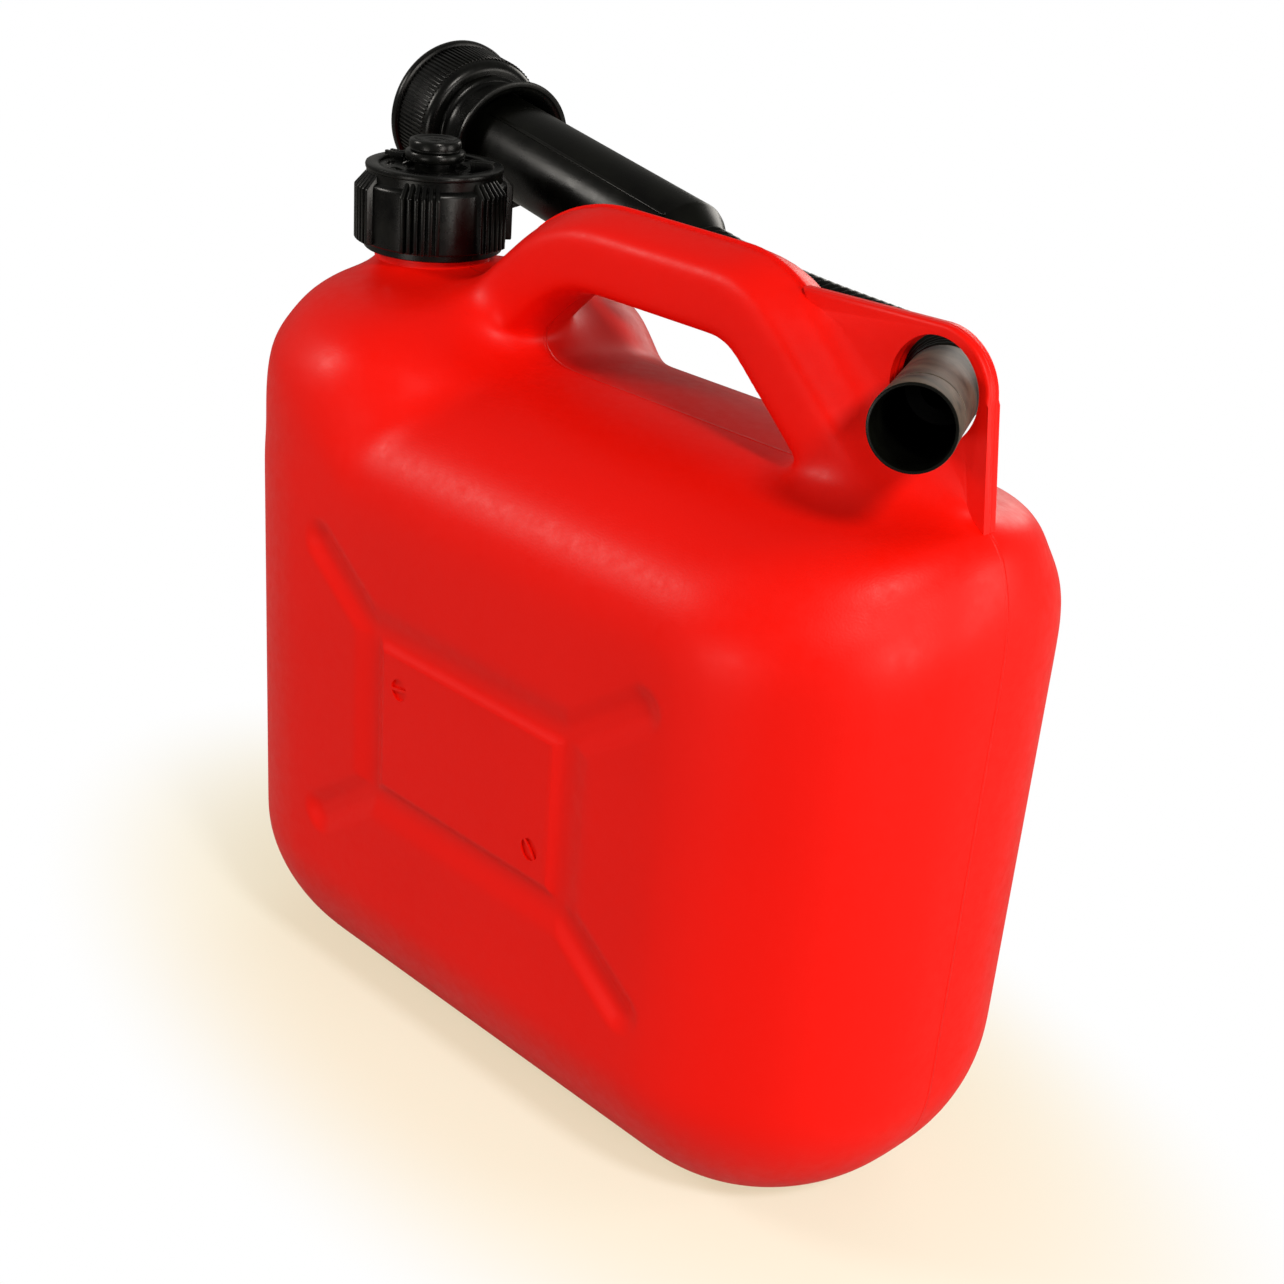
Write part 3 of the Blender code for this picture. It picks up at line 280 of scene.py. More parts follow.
# Parting line: where the two mould halves meet, a fine flash 0.7 mm wide and 0.25 mm high stands along the
# handle's crown. A point of its section, in mm, is how far it lies across and how high over the middle line.
flash = bmesh.new()
rings = []
for i, (x, z, depth) in enumerate(track[2:-4], 2):
    along = (Vector(track[i + 1][:2]) - Vector(track[i - 1][:2])).normalized()
    rings.append([Vector((x - along.y * off, across, z + along.x * off)) * MM for across, off in (
        (-0.6, depth / 2 - 4), (-0.35, depth / 2 + 0.25), (0.35, depth / 2 + 0.25), (0.6, depth / 2 - 4))])
skin(flash, rings)
cut_or_join(canister, piece("flash", flash), "UNION")

# Panel grooves on both broad sides: a frame round a flat plate with an arm out of each corner. They are soft
# troughs 1.5 to 2 mm deep that stiffen the wall, and a crisp step of 0.25 mm runs round the plate.
PANEL = np.array((4.2, 112.5)) * MM
FRAME_HALF = np.array((41, 26)) * MM
ARM_HALF = np.array((68, 45.5)) * MM
BROAD_SIDE = 55 * MM
# How far from its middle line each trough starts and how wide its slope is: towards the plate, outwards, and
# the arms' own. The step's start and width follow, and then the depths; an arm gets deeper towards its end.
PLATE_EDGE, PLATE_SLOPE, OUTER_EDGE, OUTER_SLOPE = 4.3 * MM, 3.9 * MM, 9.8 * MM, 8.4 * MM
ARM_EDGE, ARM_SLOPE, STEP_EDGE, STEP_SLOPE = 8 * MM, 6.8 * MM, 4.4 * MM, 0.4 * MM
FRAME_DEPTH, STEP_DEPTH, ARM_DEPTH, ARM_DEEPER = 1.25 * MM, 0.25 * MM, 1.5 * MM, 0.5 * MM


def groove_distance(co):
    """Distances from the frame's and the arms' middle lines in side view, share of the arm, what is plate."""
    p = np.abs(co[:, [0, 2]] - PANEL)
    q = p - FRAME_HALF
    frame_line = np.where((q[:, 0] < 0) & (q[:, 1] < 0), -np.max(q, axis=1), np.hypot(*np.maximum(q, 0).T))
    arm = ARM_HALF - FRAME_HALF
    t = np.clip((q @ arm) / (arm @ arm), 0, 1)
    arm_line = np.hypot(*(q - t[:, None] * arm).T)
    return frame_line, arm_line, t, (q[:, 0] < 0) & (q[:, 1] < 0)


def refine(mesh, cuts, wanted):
    """Divides the faces whose middles are wanted, so that a finer shape can be pressed into them."""
    bm = bmesh.new()
    bm.from_mesh(mesh)
    bm.faces.ensure_lookup_table()
    centres = np.array([face.calc_center_median() for face in bm.faces])
    chosen = np.flatnonzero(wanted(centres) & (np.abs(centres[:, 1]) > BROAD_SIDE))
    bmesh.ops.subdivide_edges(bm, edges=list({e for i in chosen for e in bm.faces[i].edges}), cuts=cuts,
                              use_grid_fill=True)
    bm.to_mesh(mesh)
    bm.free()


def slopes(co):
    """Where the frame and the arms slope."""
    frame_line, arm_line, t, on_plate = groove_distance(co)
    return np.where(on_plate, frame_line < 5 * MM, np.minimum(frame_line, arm_line) < 9.5 * MM)


def plate_border(co):
    """The strip round the plate where its step is."""
    frame_line, arm_line, t, on_plate = groove_distance(co)
    return on_plate & (np.abs(frame_line - 3.7 * MM) < 1.2 * MM)


refine(canister.data, 1, slopes)
refine(canister.data, 2, plate_border)
co = np.empty(len(canister.data.vertices) * 3)
canister.data.vertices.foreach_get("co", co)
co = co.reshape(-1, 3)
frame_line, arm_line, t, on_plate = groove_distance(co)
frame_fall = soft(np.where(on_plate, (PLATE_EDGE - frame_line) / PLATE_SLOPE,
                           (OUTER_EDGE - frame_line) / OUTER_SLOPE))
arm_fall = soft((ARM_EDGE - arm_line) / ARM_SLOPE) * ~on_plate
step_fall = np.where(on_plate, np.clip((STEP_EDGE - frame_line) / STEP_SLOPE, 0, 1), 1) * frame_fall ** 0.25
fall = np.maximum(frame_fall * FRAME_DEPTH + step_fall * STEP_DEPTH, arm_fall * (ARM_DEPTH + ARM_DEEPER * t))
co[:, 1] -= np.sign(co[:, 1]) * fall * (np.abs(co[:, 1]) > BROAD_SIDE)
canister.data.vertices.foreach_set("co", co.ravel())
canister.data.update()

# Filler neck: a short upright tube of the same moulding with one and a half turns of thread.
PITCH, TURNS = 4.5 * MM, 1.5


def spun(bm, profile, sides=96, where=Matrix()):
    """A turned solid: a profile of (radius, height) points in mm, closed and spun about its axis."""
    verts = [bm.verts.new((r * MM, 0, h * MM)) for r, h in profile]
    edges = [bm.edges.new(pair) for pair in zip(verts, verts[1:])]
    if profile[0][0] > 0 and profile[-1][0] > 0:
        edges.append(bm.edges.new((verts[-1], verts[0])))
    bmesh.ops.spin(bm, geom=verts + edges, cent=(0, 0, 0), axis=(0, 0, 1), angle=2 * pi, steps=sides,
                   use_merge=True)
    bmesh.ops.remove_doubles(bm, verts=bm.verts, dist=1e-7)
    bmesh.ops.dissolve_degenerate(bm, edges=bm.edges, dist=1e-7)
    bmesh.ops.recalc_face_normals(bm, faces=bm.faces)
    bmesh.ops.transform(bm, matrix=where, verts=bm.verts)


def thread(bm, root, height, start, where):
    """A ridge pulled along a helix, with its ends sunk in the wall; a negative height stands inward."""
    steps = 60
    rings = []
    for i in range(steps + 1):
        fade = min(1.0, min(i, steps - i) / 6)
        crest = root + height * (0.1 + 0.9 * fade)
        angle = 2 * pi * TURNS * i / steps
        middle = start + PITCH * TURNS * i / steps
        back = root - (0.4 * MM if height > 0 else -0.4 * MM)
        rings.append([where @ Vector((r * cos(angle), r * sin(angle), middle + h)) for r, h in
                      ((back, -1.1 * MM), (crest, -0.4 * MM), (crest, 0.4 * MM), (back, 1.1 * MM))])
    skin(bm, rings)


collar = bmesh.new()
spun(collar, [(0, 219), (17.2, 219), (17.2, 228.6), (18, 229.4), (18, 250.2), (17.2, 251), (0, 251)],
     where=Matrix.Translation((NECK_X, 0, 0)))
ridge = bmesh.new()
thread(ridge, 18 * MM, 1.3 * MM, 239.5 * MM, Matrix.Translation((NECK_X, 0, 0)))
collar, ridge = piece("collar", collar), piece("ridge", ridge)
cut_or_join(collar, ridge, "UNION")
cut_or_join(canister, collar, "UNION")

# Neck bore, the fin's round hole and the two slotted screw heads of the mould's insert, which have left their
# shallow print on the plate.
SCREW_MARKS = ((-25.4, 124.6, -8), (33.7, 99, 50))    # x and z in mm, and the slot's turn in degrees
MARK_RADIUS, SLOT_HALF, MARK_FLOOR = 3.4 * MM, 0.45 * MM, -64.2
tools = bmesh.new()
bar(tools, 15.8 * MM, 110 * MM, Matrix.Translation((NECK_X, 0, 205 * MM)))
bar(tools, 13.8 * MM, 20 * MM, Matrix.Translation(FIN_HOLE) @ Matrix.Rotation(pi / 2, 4, "X"))
for x, z, turn in SCREW_MARKS:
    for half in (-1, 1):
        made = bmesh.ops.create_circle(tools, cap_ends=True, segments=24, radius=MARK_RADIUS)["verts"]
        for vert in made:
            vert.co.y = half * max(half * vert.co.y, SLOT_HALF)
        face = list({f for vert in made for f in vert.link_faces})
        grown = [g for g in bmesh.ops.extrude_face_region(tools, geom=face)["geom"]
                 if isinstance(g, bmesh.types.BMVert)]
        bmesh.ops.translate(tools, vec=(0, 0, 3 * MM), verts=grown)
        where = Matrix.Translation(Vector((x, MARK_FLOOR, z)) * MM) @ Matrix.Rotation(radians(turn), 4, "Y")
        bmesh.ops.transform(tools, verts=made + grown, matrix=where @ Matrix.Rotation(pi / 2, 4, "X"))
bmesh.ops.remove_doubles(tools, verts=tools.verts, dist=1e-7)
bmesh.ops.recalc_face_normals(tools, faces=tools.faces)
cut_or_join(canister, piece("tools", tools), "DIFFERENCE")
canister.data.shade_smooth()
canister.data.set_sharp_from_angle(angle=radians(32))


def srgb(code):
    """A hex colour as linear light."""
    parts = [int(code[i:i + 2], 16) / 255 for i in (1, 3, 5)]
    return tuple(p / 12.92 if p <= 0.04045 else ((p + 0.055) / 1.055) ** 2.4 for p in parts) + (1.0,)


def feed(tree, made, inputs):
    """Gives a node's inputs a value each, or the socket that feeds them."""
    for name, value in inputs.items():
        if isinstance(value, bpy.types.NodeSocket):
            tree.links.new(value, made.inputs[name])
        else:
            made.inputs[name].default_value = value


def node(tree, kind, inputs=None, **settings):
    """Adds one node with its settings and inputs."""
    made = tree.nodes.new(kind)
    for name, value in settings.items():
        setattr(made, name, value)
    feed(tree, made, inputs or {})
    return made


def ramp(tree, share, low, high, start=0, end=1):
    """A colour that runs from one hex colour to another as a share goes from start to end."""
    made = node(tree, "ShaderNodeValToRGB", {"Fac": share})
    first, last = made.color_ramp.elements
    first.position, first.color = start, srgb(low)
    last.position, last.color = end, srgb(high)
    return made.outputs["Color"]


def material(name):
    """A new material, with its node tree, its shader and the object's own coordinates."""
    made = bpy.data.materials.new(name)
    made.use_nodes = True
    tree = made.node_tree
    return made, tree, tree.nodes["Principled BSDF"], node(tree, "ShaderNodeTexCoord").outputs["Object"]


# Blow-moulded high-density polyethylene, mass-coloured red: a waxy satin skin that takes the mould's
# sand-blasted grain (about 0.5 mm), a slight waviness from uneven cooling, and fine rub marks. IOR 1.54.
red, tree, shader, place = material("blow_moulded_polyethylene_red")
cloud = node(tree, "ShaderNodeTexNoise", {"Vector": place, "Scale": 9, "Detail": 1.5, "Roughness": 0.5})
tint = ramp(tree, cloud.outputs["Fac"], "#DA0B01", "#E30D02", 0.3, 0.7)
rub = node(tree, "ShaderNodeTexNoise", {"Vector": place, "Scale": 260, "Detail": 4, "Roughness": 0.7})
gloss = node(tree, "ShaderNodeMapRange", {"Value": rub.outputs["Fac"], "From Min": 0.3, "From Max": 0.75,
                                          "To Min": 0.36, "To Max": 0.5})
grain = node(tree, "ShaderNodeTexNoise", {"Vector": place, "Scale": 1700, "Detail": 1.5, "Roughness": 0.5})
wave = node(tree, "ShaderNodeTexNoise", {"Vector": place, "Scale": 28, "Detail": 1, "Roughness": 0.4})
axes = node(tree, "ShaderNodeSeparateXYZ", {"Vector": place})
off = node(tree, "ShaderNodeMath", {0: axes.outputs["Y"]}, operation="ABSOLUTE")
line = node(tree, "ShaderNodeMapRange", {"Value": off.outputs[0], "From Min": 0.25 * MM,
                                         "From Max": 0.75 * MM, "To Min": 1, "To Max": 0},
            interpolation_type="SMOOTHSTEP")
bump = node(tree, "ShaderNodeBump", {"Height": wave.outputs["Fac"], "Strength": 0.12, "Distance": 0.6 * MM})
bump = node(tree, "ShaderNodeBump", {"Height": line.outputs[0], "Strength": 0.8, "Distance": 0.3 * MM,
                                     "Normal": bump.outputs[0]})
bump = node(tree, "ShaderNodeBump", {"Height": grain.outputs["Fac"], "Strength": 0.4, "Distance": 0.08 * MM,
                                     "Normal": bump.outputs[0]})
feed(tree, shader, {"Base Color": tint, "Roughness": gloss.outputs[0], "Normal": bump.outputs[0], "IOR": 1.54,
                    "Specular IOR Level": 0.13})
canister.data.materials.clear()
canister.data.materials.append(red)
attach(canister, "canister")
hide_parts("canister_body")

# Filler cap: injection-moulded black polypropylene. A thin skirt, a barrel with six groups of grip ribs, and
# a crown ring round a sunk top that carries small upright lugs. It screws onto the neck.
CAP_AXIS = Matrix.Translation((NECK_X, 0, 0))
shell = bmesh.new()
spun(shell, [
    (20, 232.3), (21.1, 232.3), (21.4, 232.6), (21.4, 234.3), (22.1, 234.5), (22.4, 234.9), (22.4, 251.8),
    (22.2, 252.6), (21.7, 253.1), (21.2, 253.3), (20.9, 253.6), (20.8, 256.2), (21.1, 256.5), (21.2, 257.2),
    (21, 257.8), (20.6, 258), (17.2, 258), (16.9, 257.8), (16.8, 257.2), (10, 257.2), (9.8, 257),
    (9.8, 255.5), (6.5, 255.5), (6.5, 253.1), (20, 253.1)], where=CAP_AXIS)
shell = piece("cap_shell", shell)


def block(bm, size, where, edge_round=0.0):
    """A small moulded block with rounded edges, set in place."""
    made = bmesh.ops.create_cube(bm, size=1, matrix=Matrix.Diagonal((*size, 1)))["verts"]
    if edge_round:
        edges = list({edge for vert in made for edge in vert.link_edges})
        faces = bmesh.ops.bevel(bm, geom=edges, offset=edge_round, segments=2, profile=0.5, affect="EDGES",
                                material=-1)["faces"]
        made = list({vert for face in faces for vert in face.verts})
    bmesh.ops.transform(bm, matrix=where, verts=made)
    return made


pockets = bmesh.new()
for k in range(9):
    block(pockets, (2.2 * MM, 5.6 * MM, 3 * MM), CAP_AXIS @ Matrix.Rotation(radians(40 * k + 24), 4, "Z")
          @ Matrix.Translation((13.4 * MM, 0, 257.4 * MM)), edge_round=0.7 * MM)
cut_or_join(shell, piece("pockets", pockets), "DIFFERENCE")
grips = bmesh.new()
grips.from_mesh(shell.data)
bpy.data.objects.remove(shell, do_unlink=True)
GROUPS, RIBS, RIB_STEP = 6, 6, 5.2
for group in range(GROUPS):
    for rib in range(RIBS):
        degrees = 11 + 360 / GROUPS * group + RIB_STEP * (rib - (RIBS - 1) / 2)
        turn = CAP_AXIS @ Matrix.Rotation(radians(degrees), 4, "Z")
        foot = block(grips, (3.5 * MM, 1.35 * MM, 20.6 * MM),
                     turn @ Matrix.Translation((22.75 * MM, 0, 245.2 * MM)))
        back = turn.inverted()
        slope = [vert for vert in foot if (back @ vert.co).z > 250 * MM and (back @ vert.co).x > 23 * MM]
        for vert in slope:
            vert.co = turn @ Vector((24.5 * MM, (back @ vert.co).y, 251.6 * MM))
        edges = list({edge for vert in foot for edge in vert.link_edges
                      if all((back @ v.co).x > 22 * MM for v in edge.verts)
                      or edge.verts[0] in slope or edge.verts[1] in slope})
        bmesh.ops.bevel(grips, geom=edges, offset=0.4 * MM, segments=2, profile=0.5, affect="EDGES",
                        material=-1)
for where in (44, 116, 194):
    for side in (-1.3, 1.3):
        block(grips, (7 * MM, 1.1 * MM, 3.4 * MM), CAP_AXIS @ Matrix.Rotation(radians(where), 4, "Z")
              @ Matrix.Translation((14.6 * MM, side * MM, 257.8 * MM)), edge_round=0.25 * MM)
thread(grips, 20 * MM, -1.3 * MM, 237.25 * MM, CAP_AXIS)

# Injection-moulded polypropylene, black: tight skin with a soft sheen, fine handling scratches and a little
# dust that lightens it towards olive grey. IOR 1.49.
cap_black, tree, shader, place = material("injection_moulded_polypropylene_black")
dust = node(tree, "ShaderNodeTexNoise", {"Vector": place, "Scale": 140, "Detail": 5, "Roughness": 0.65})
tint = ramp(tree, dust.outputs["Fac"], "#030303", "#0C0D0A", 0.42, 0.8)
gloss = node(tree, "ShaderNodeMapRange", {"Value": dust.outputs["Fac"], "From Min": 0.3, "From Max": 0.8,
                                          "To Min": 0.2, "To Max": 0.4})
stretch = node(tree, "ShaderNodeMapping", {"Vector": place, "Scale": (1, 1, 0.12)})
scratch = node(tree, "ShaderNodeTexNoise", {"Vector": stretch.outputs[0], "Scale": 2400, "Detail": 2})
bump = node(tree, "ShaderNodeBump", {"Height": scratch.outputs["Fac"], "Strength": 0.25,
                                     "Distance": 0.06 * MM})
feed(tree, shader, {"Base Color": tint, "Roughness": gloss.outputs[0], "Normal": bump.outputs[0], "IOR": 1.49,
                    "Specular IOR Level": 0.2})
cap = piece("screw_cap", grips, cap_black)
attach(cap, "cap")
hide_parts("filler_cap")

# Vent plug: a round two-step knob of the same black plastic, pressed through the cap's roof on a short stem.
knob = bmesh.new()
spun(knob, [
    (0, 248.1), (5.6, 248.1), (6.2, 248.7), (6.2, 258.8), (8.4, 259), (9, 259.4), (9.2, 260), (9.2, 261.3),
    (8.9, 261.9), (8.3, 262.1), (7.6, 262.3), (7.5, 262.7), (8, 263), (8, 264.6), (7.7, 265.2), (7.1, 265.5),
    (6.2, 265.5), (5.8, 265.3), (5.4, 265.1), (2.2, 265.1), (1.9, 265.3), (0, 265.3)],
     sides=80, where=CAP_AXIS)
knob = piece("vent_knob", knob, cap_black)
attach(knob, "vent")
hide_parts("vent_plug")

# Spout nut: knurled ring of the same black plastic, with a smooth bead at its open end and a round shoulder
# that holds the adaptor's flange. The thread inside fits the canister's neck.
MOUTH, TUBE_END = Vector((-156, 56.5, 259.5)) * MM, Vector((-22.36, 38.32, 242.3)) * MM
axis = (TUBE_END - MOUTH).normalized()
level = Vector((0, 0, 1)).cross(axis).normalized()
SPOUT = Matrix.Translation(MOUTH) @ Matrix((level, axis.cross(level), axis)).transposed().to_4x4()
ring = bmesh.new()
spun(ring, [
    (20, 0.4), (20.4, 0), (23.4, 0), (24.1, 0.3), (24.4, 1), (24.4, 2.3), (24.1, 2.9), (23.4, 3.2),
    (22.5, 3.3), (22.4, 3.9), (22.9, 4.2), (22.9, 18.2), (22.8, 19.2), (22.4, 20.1), (21.7, 20.8),
    (20.9, 21.3), (20, 21.5), (16.8, 21.5), (16.6, 21.2), (16.6, 17), (20, 17)], where=SPOUT)
KNURLS = 104
for rib in range(KNURLS):
    turn = SPOUT @ Matrix.Rotation(2 * pi * rib / KNURLS, 4, "Z")
    block(ring, (1.2 * MM, 0.7 * MM, 14.2 * MM), turn @ Matrix.Translation((22.9 * MM, 0, 11.3 * MM)),
          edge_round=0.22 * MM)
thread(ring, 20 * MM, -1.3 * MM, 2.2 * MM, SPOUT)
nut = piece("spout_nut_ring", ring, cap_black)
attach(nut, "nut")
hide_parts("spout_nut")

# Spout adaptor: black plastic piece between nut and tube, with its flange inside the nut, a step ring, a
# hollow bell whose rim stands round the tube, and the spigot that the tube is pushed onto.
FLARE_STEPS = 12
bell = bmesh.new()
flare, lining = [], []
for k in range(FLARE_STEPS + 1):
    angle = pi / 2 * k / FLARE_STEPS
    radius = 17.1 + 4.2 * (1 - cos(angle))
    flare.append((radius, 25 + 12.7 * sin(angle)))
    lining.append((radius - 1.8, 25.6 + 12.7 * sin(angle)))
spun(bell, [
    (11.6, 14.7), (18.9, 14.7), (19.2, 15), (19.2, 16.4), (18.9, 16.7), (16.2, 16.7), (16.2, 21.8),
    (18.3, 21.8), (18.6, 22.1), (18.6, 23.6), (18.3, 24), (17.4, 24.3), *flare, (21.6, 38.1), (21.5, 38.7),
    (21, 38.9), (20, 38.8), *reversed(lining[1:]), (15.3, 25.6), (13.1, 25.6), (13.1, 37.4), (12.9, 37.6),
    (11.6, 37.6)], where=SPOUT)
adaptor = piece("spout_bell", bell, cap_black)
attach(adaptor, "spout")
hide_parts("spout_adaptor")

# Spout tube: wide rigid tube of black polyethylene that tapers at its end to carry the hose. A fine raised
# line from its mould runs along it on both sides.
RUN = (TUBE_END - MOUTH).length / MM
pipe = bmesh.new()
spun(pipe, [
    (13.4, 25.9), (15, 25.9), (15, RUN - 0.8), (14.7, RUN), (9.9, RUN + 6.7), (9.6, RUN + 7), (7, RUN + 7),
    (7, RUN + 18.8), (6.8, RUN + 19), (5.8, RUN + 19), (5.8, RUN + 5.4), (13.4, RUN - 1.6)], where=SPOUT)
for degrees in (130, 310):
    turn = SPOUT @ Matrix.Rotation(radians(degrees), 4, "Z")
    block(pipe, (1.3 * MM, 1.2 * MM, (RUN - 40) * MM),
          turn @ Matrix.Translation((15 * MM, 0, (RUN / 2 + 19) * MM)), edge_round=0.35 * MM)

# Black polyethylene of the spout: softer than the cap's plastic, with a waxy gloss and lengthwise draw marks.
spout_black, tree, shader, place = material("extruded_polyethylene_black")
dust = node(tree, "ShaderNodeTexNoise", {"Vector": place, "Scale": 90, "Detail": 5, "Roughness": 0.6})
tint = ramp(tree, dust.outputs["Fac"], "#030302", "#0B0C08", 0.4, 0.85)
gloss = node(tree, "ShaderNodeMapRange", {"Value": dust.outputs["Fac"], "From Min": 0.3, "From Max": 0.8,
                                          "To Min": 0.24, "To Max": 0.36})
stretch = node(tree, "ShaderNodeMapping", {"Vector": place, "Scale": (0.06, 1, 1)})
draw = node(tree, "ShaderNodeTexNoise", {"Vector": stretch.outputs[0], "Scale": 1500, "Detail": 2})
bump = node(tree, "ShaderNodeBump", {"Height": draw.outputs["Fac"], "Strength": 0.2, "Distance": 0.08 * MM})
feed(tree, shader, {"Base Color": tint, "Roughness": gloss.outputs[0], "Normal": bump.outputs[0], "IOR": 1.51,
                    "Specular IOR Level": 0.14})
tube = piece("spout_pipe", pipe, spout_black)
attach(tube, "spout")
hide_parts("spout_tube")

# Corrugated hose: thin black polyethylene blown into round ribs every 3.5 mm. It leaves the tube straight,
# sweeps along the handle and bends into the tip behind the fin.
TIP_TURN, TIP_RISE, RIB_PITCH, LINING = radians(61.2), radians(3.8), 3.5 * MM, 7.9 * MM
SIDES, PER_RIB, STRAIGHT_STEPS, BEND_POINTS = 24, 8, 40, 240
OUT = Vector((cos(TIP_TURN) * cos(TIP_RISE), -sin(TIP_TURN) * cos(TIP_RISE), sin(TIP_RISE)))
HOSE_START = TUBE_END + axis * 7.3 * MM
HOSE_END = FIN_HOLE - Vector((0, 0, 1.1 * MM)) - OUT * 8.6 * MM
first, last = HOSE_START + axis * 12 * MM, HOSE_END - OUT * 2 * MM
span = (last - first).length
swing, bend = first + axis * 0.42 * span, last - OUT * 0.28 * span
route = [HOSE_START.lerp(first, k / STRAIGHT_STEPS) for k in range(STRAIGHT_STEPS)]
for k in range(BEND_POINTS + 1):
    t = k / BEND_POINTS
    route.append(first * (1 - t) ** 3 + 3 * (swing * (1 - t) + bend * t) * t * (1 - t) + last * t ** 3)
route += [last.lerp(HOSE_END, k / STRAIGHT_STEPS) for k in range(1, STRAIGHT_STEPS + 1)]
run = [0.0]
for a, b in zip(route, route[1:]):
    run.append(run[-1] + (b - a).length)
stations = np.linspace(0, run[-1], round(run[-1] / RIB_PITCH) * PER_RIB + 1)
points = np.stack([np.interp(stations, run, [p[i] for p in route]) for i in range(3)], 1)
rings, lining = [], []
side = Vector((0, 0, 1)).cross(axis).normalized()
for i, point in enumerate(points):
    ahead = Vector(points[min(i + 1, len(points) - 1)] - points[max(i - 1, 0)]).normalized()
    side = (side - ahead * side.dot(ahead)).normalized()
    up = ahead.cross(side)
    phase = 2 * pi * i / PER_RIB
    radius = (10.1 - 0.95 * cos(phase) - 0.12 * cos(2 * phase)) * MM
    around = [side * cos(2 * pi * k / SIDES) + up * sin(2 * pi * k / SIDES) for k in range(SIDES)]
    rings.append([Vector(point) + ray * radius for ray in around])
    lining.append([Vector(point) + ray * LINING for ray in around])
hose = bmesh.new()
skin(hose, rings + [lining[i] for i in (len(lining) - 1, *range(len(lining) - 5, 3, -4), 0)])
hose.faces.ensure_lookup_table()
caps = [face for face in hose.faces if len(face.verts) == SIDES]
mouths = [*caps[0].edges, *caps[-1].edges]
bmesh.ops.delete(hose, geom=caps, context="FACES_ONLY")
bmesh.ops.bridge_loops(hose, edges=mouths)
bmesh.ops.recalc_face_normals(hose, faces=hose.faces)
hose = piece("ribbed_hose", hose, spout_black, sharp=60)
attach(hose, "spout")
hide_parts("flex_hose")

# Spout tip: smooth black tube whose nozzle sits in the hose and which goes through the fin's hole. It is
# dusty and rubbed, so it looks grey-brown, and a moulded groove runs round it a little behind its open end.
up = Vector((0, 0, 1)).cross(OUT).normalized()
TIP = Matrix.Translation(HOSE_END) @ Matrix((up, OUT.cross(up), OUT)).transposed().to_4x4()
END = 48.3
nose = bmesh.new()
spun(nose, [
    (5.8, -12), (7, -12), (7, 0.3), (10.2, 0.3), (10.5, 0.6), (10.6, END - 12.4), (10.1, END - 12.1),
    (10, END - 11.2), (10.7, END - 10.8), (10.9, END - 0.5), (10.8, END - 0.1), (10.6, END), (10.1, END),
    (9.9, END - 0.3), (9.5, END - 8), (9.4, 2.7), (5.8, 1.5)], sides=80, where=TIP)

# The tip's plastic is the spout's, under a film of dust and fuel stain: matt warm grey, streaked lengthwise.
dusty, tree, shader, place = material("dusty_polyethylene_black")
streak = node(tree, "ShaderNodeMapping", {"Vector": place, "Rotation": (0, 0, TIP_TURN),
                                          "Scale": (0.18, 1, 1)})
film = node(tree, "ShaderNodeTexNoise", {"Vector": streak.outputs[0], "Scale": 260, "Detail": 5,
                                         "Roughness": 0.65})
tint = ramp(tree, film.outputs["Fac"], "#211B16", "#5A4B3E", 0.3, 0.7)
bump = node(tree, "ShaderNodeBump", {"Height": film.outputs["Fac"], "Strength": 0.25, "Distance": 0.08 * MM})
feed(tree, shader, {"Base Color": tint, "Roughness": 0.55, "Normal": bump.outputs[0], "IOR": 1.51,
                    "Specular IOR Level": 0.25})
nose = piece("spout_nose", nose, dusty, spout_black)
# Inside its mouth and on its open end the tip keeps the spout's plain black, without the dust. The darker
# inside of the mouth is painted shade.
for face in nose.data.polygons:
    local = TIP.inverted() @ face.center
    if hypot(local.x, local.y) < 9.8 * MM or local.z > (END - 0.2) * MM:
        face.material_index = 1
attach(nose, "spout")
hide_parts("spout_tip")

# Sealing rings: punched from grey nitrile rubber sheet, one under the cap's roof and one inside the nut.
rubber, tree, shader, place = material("nitrile_rubber_grey")
speck = node(tree, "ShaderNodeTexNoise", {"Vector": place, "Scale": 900, "Detail": 4})
tint = ramp(tree, speck.outputs["Fac"], "#3A3B3B", "#565857")
bump = node(tree, "ShaderNodeBump", {"Height": speck.outputs["Fac"], "Strength": 0.3, "Distance": 0.05 * MM})
feed(tree, shader, {"Base Color": tint, "Roughness": 0.75, "Normal": bump.outputs[0]})
for name in ("cap_gasket", "spout_gasket"):
    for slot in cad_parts[name].material_slots:
        slot.material = rubber

# Floor: a wide sheet of matt white paper, which keeps the canister's soft shadow. The camera sees it as
# white, fading into the white room. Near the canister its glow is painted cream and its lit part a little
# blue, so that the shadow there
# turns warm: a painted warm shade. What it throws back on the object is the paper's own plain light grey.
sheet = bmesh.new()
bmesh.ops.create_grid(sheet, x_segments=8, y_segments=8, size=6)
bmesh.ops.translate(sheet, vec=(0, 0, -0.6 * MM), verts=sheet.verts)
paper, tree, shader, place = material("matt_paper_white_with_painted_warm_shade")
feed(tree, shader, {"Base Color": srgb("#A9A8A5"), "Roughness": 0.9, "Specular IOR Level": 0.1})
oval = node(tree, "ShaderNodeVectorMath", {0: place, 1: (1, 1.9, 0)}, operation="MULTIPLY")
away = node(tree, "ShaderNodeVectorMath", {0: oval.outputs[0]}, operation="LENGTH")
far = node(tree, "ShaderNodeMapRange", {"Value": away.outputs["Value"], "From Min": 0.13, "From Max": 0.27,
                                        "To Min": 0, "To Max": 1}, interpolation_type="SMOOTHSTEP")
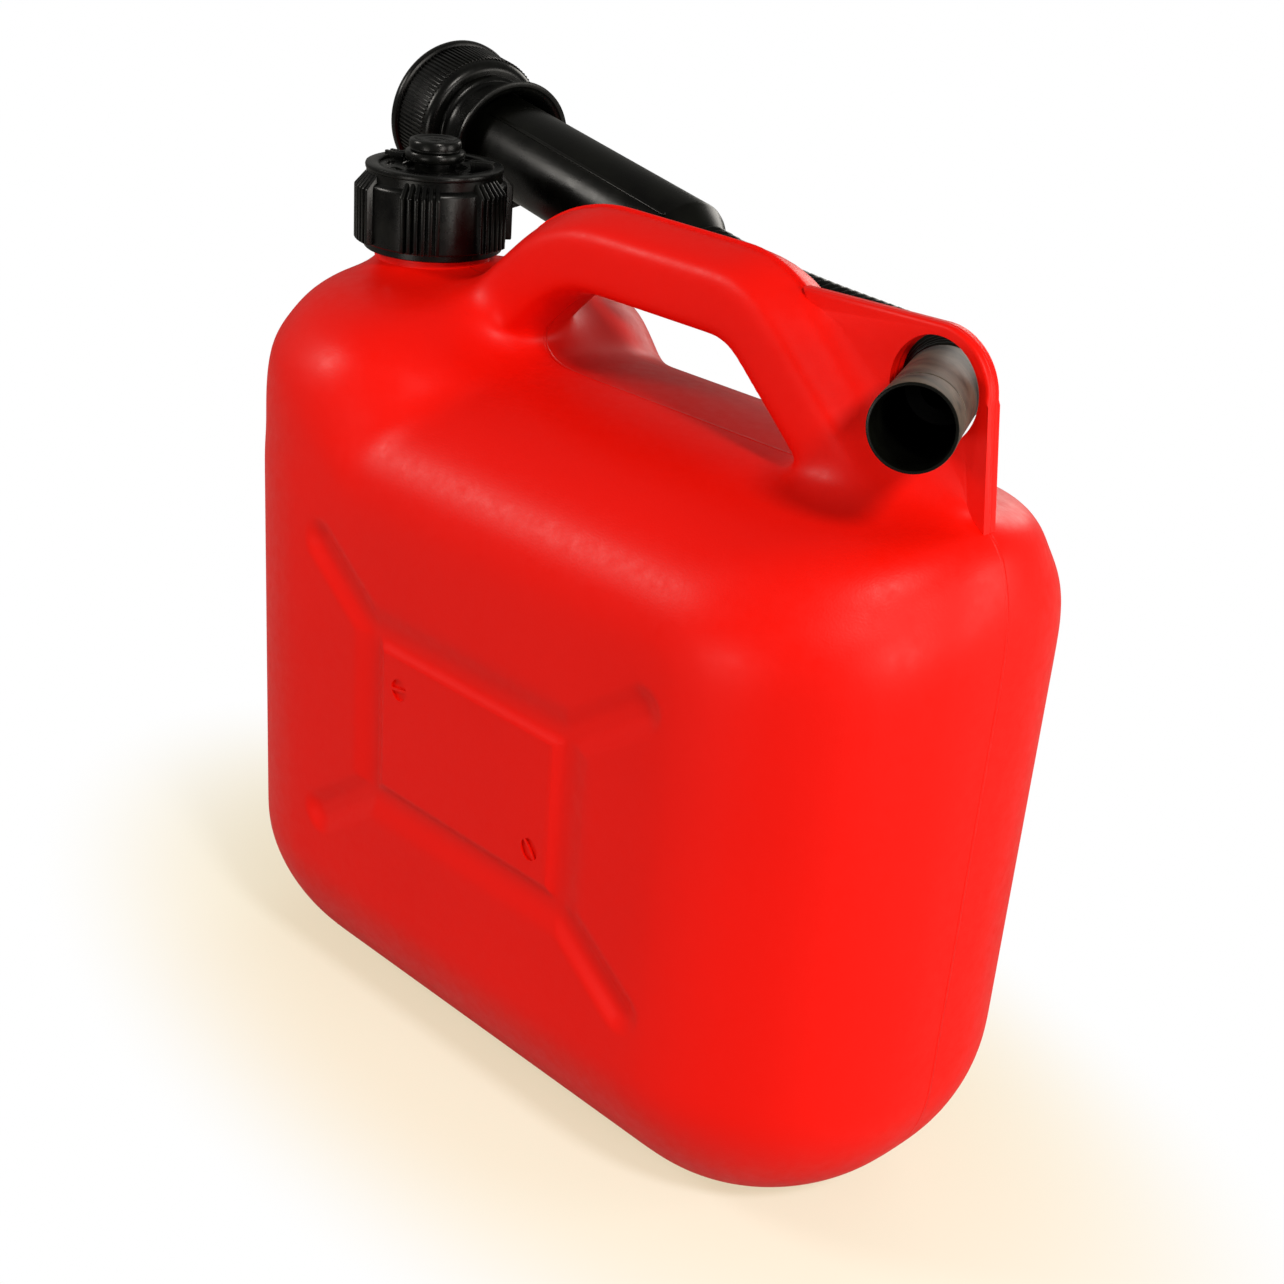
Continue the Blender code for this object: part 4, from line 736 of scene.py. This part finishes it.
# Painted warm shade: the glow is cream near the canister and pure white further out.
painted_warm_shade = ramp(tree, far.outputs[0], "#FFF1CC", "#FFFFFF")
share = node(tree, "ShaderNodeMath", {0: far.outputs[0], 1: 0.38, 2: 0.62}, operation="MULTIPLY_ADD")
matt = node(tree, "ShaderNodeBsdfDiffuse", {"Color": srgb("#F4FAFF")})
glow = node(tree, "ShaderNodeEmission", {"Color": painted_warm_shade, "Strength": 1})
white = node(tree, "ShaderNodeMixShader", {"Fac": share.outputs[0], 1: matt.outputs[0], 2: glow.outputs[0]})
rays = node(tree, "ShaderNodeLightPath")
mixed = node(tree, "ShaderNodeMixShader", {"Fac": rays.outputs["Is Camera Ray"], 1: shader.outputs[0],
                                           2: white.outputs[0]})
tree.links.new(mixed.outputs[0], tree.nodes["Material Output"].inputs["Surface"])
floor = piece("floor", sheet, paper)

# Light: a plain, nearly white room, with a small soft box high on the right, whose gleam lies on the near
# shoulder, and five wider ones low and high all round the canister. All of them face its middle.
world = bpy.data.worlds.new("white_room")
bpy.context.scene.world = world
world.use_nodes = True
tree = world.node_tree
room = tree.nodes["Background"]
room.inputs["Color"].default_value = srgb("#FFFDF6")
room.inputs["Strength"].default_value = 0.25
seen = node(tree, "ShaderNodeBackground", {"Color": srgb("#FFFFFF"), "Strength": 1.0})
rays = node(tree, "ShaderNodeLightPath")
either = node(tree, "ShaderNodeMath", {0: rays.outputs["Is Camera Ray"],
                                       1: rays.outputs["Is Transmission Ray"]}, operation="MAXIMUM")
mixed = node(tree, "ShaderNodeMixShader", {"Fac": either.outputs[0], 1: room.outputs[0], 2: seen.outputs[0]})
tree.links.new(mixed.outputs[0], tree.nodes["World Output"].inputs["Surface"])
MIDDLE = Vector((0, 0, 0.12))
for name, spot, size, power in (("high_right_box", (0.95, -0.35, 0.95), 0.2, 9.5),
                                ("low_rear_box", (1.4, -0.15, 0.3), 0.5, 8),
                                ("far_rear_box", (0.9, 0.6, 0.3), 0.4, 3.5),
                                ("high_left_box", (-0.9, -0.9, 0.85), 0.4, 8.5),
                                ("low_front_box", (0.1, -1.1, 0.08), 0.4, 3),
                                ("high_far_box", (-0.3, 1.1, 0.5), 0.6, 3.5)):
    lamp = bpy.data.lights.new(name, "AREA")
    lamp.shape = "DISK"
    lamp.size = size
    lamp.energy = power
    lamp.color = srgb("#FFFAF2")[:3]
    stand = bpy.data.objects.new(name, lamp)
    stand.location = spot
    stand.rotation_euler = (Vector(spot) - MIDDLE).to_track_quat("Z", "Y").to_euler()
    bpy.context.scene.collection.objects.link(stand)

# Camera: at the photograph's angle, a little above the handle and off the near rear corner, rolled as the
# photograph is.
AZIMUTH, ELEVATION, ROLL, DISTANCE = radians(44.11), radians(24.47), radians(4.29), 603.35 * MM
TARGET = Vector((3.92, 4.52, 132.43)) * MM
back = Vector((sin(AZIMUTH) * cos(ELEVATION), -cos(AZIMUTH) * cos(ELEVATION), sin(ELEVATION)))
flat = Vector((cos(AZIMUTH), sin(AZIMUTH), 0))
upward = back.cross(flat)
right = cos(ROLL) * flat + sin(ROLL) * upward
upward = -sin(ROLL) * flat + cos(ROLL) * upward
view = bpy.data.cameras.new("camera")
view.sensor_width = 36
view.lens = 55.97
view.clip_start = 0.01
eye = bpy.data.objects.new("camera", view)
turned = Matrix((right, upward, back)).transposed().to_4x4()
eye.matrix_world = Matrix.Translation(TARGET + back * DISTANCE) @ turned
bpy.context.scene.collection.objects.link(eye)
bpy.context.scene.camera = eye
bpy.context.scene.view_settings.view_transform = "Standard"
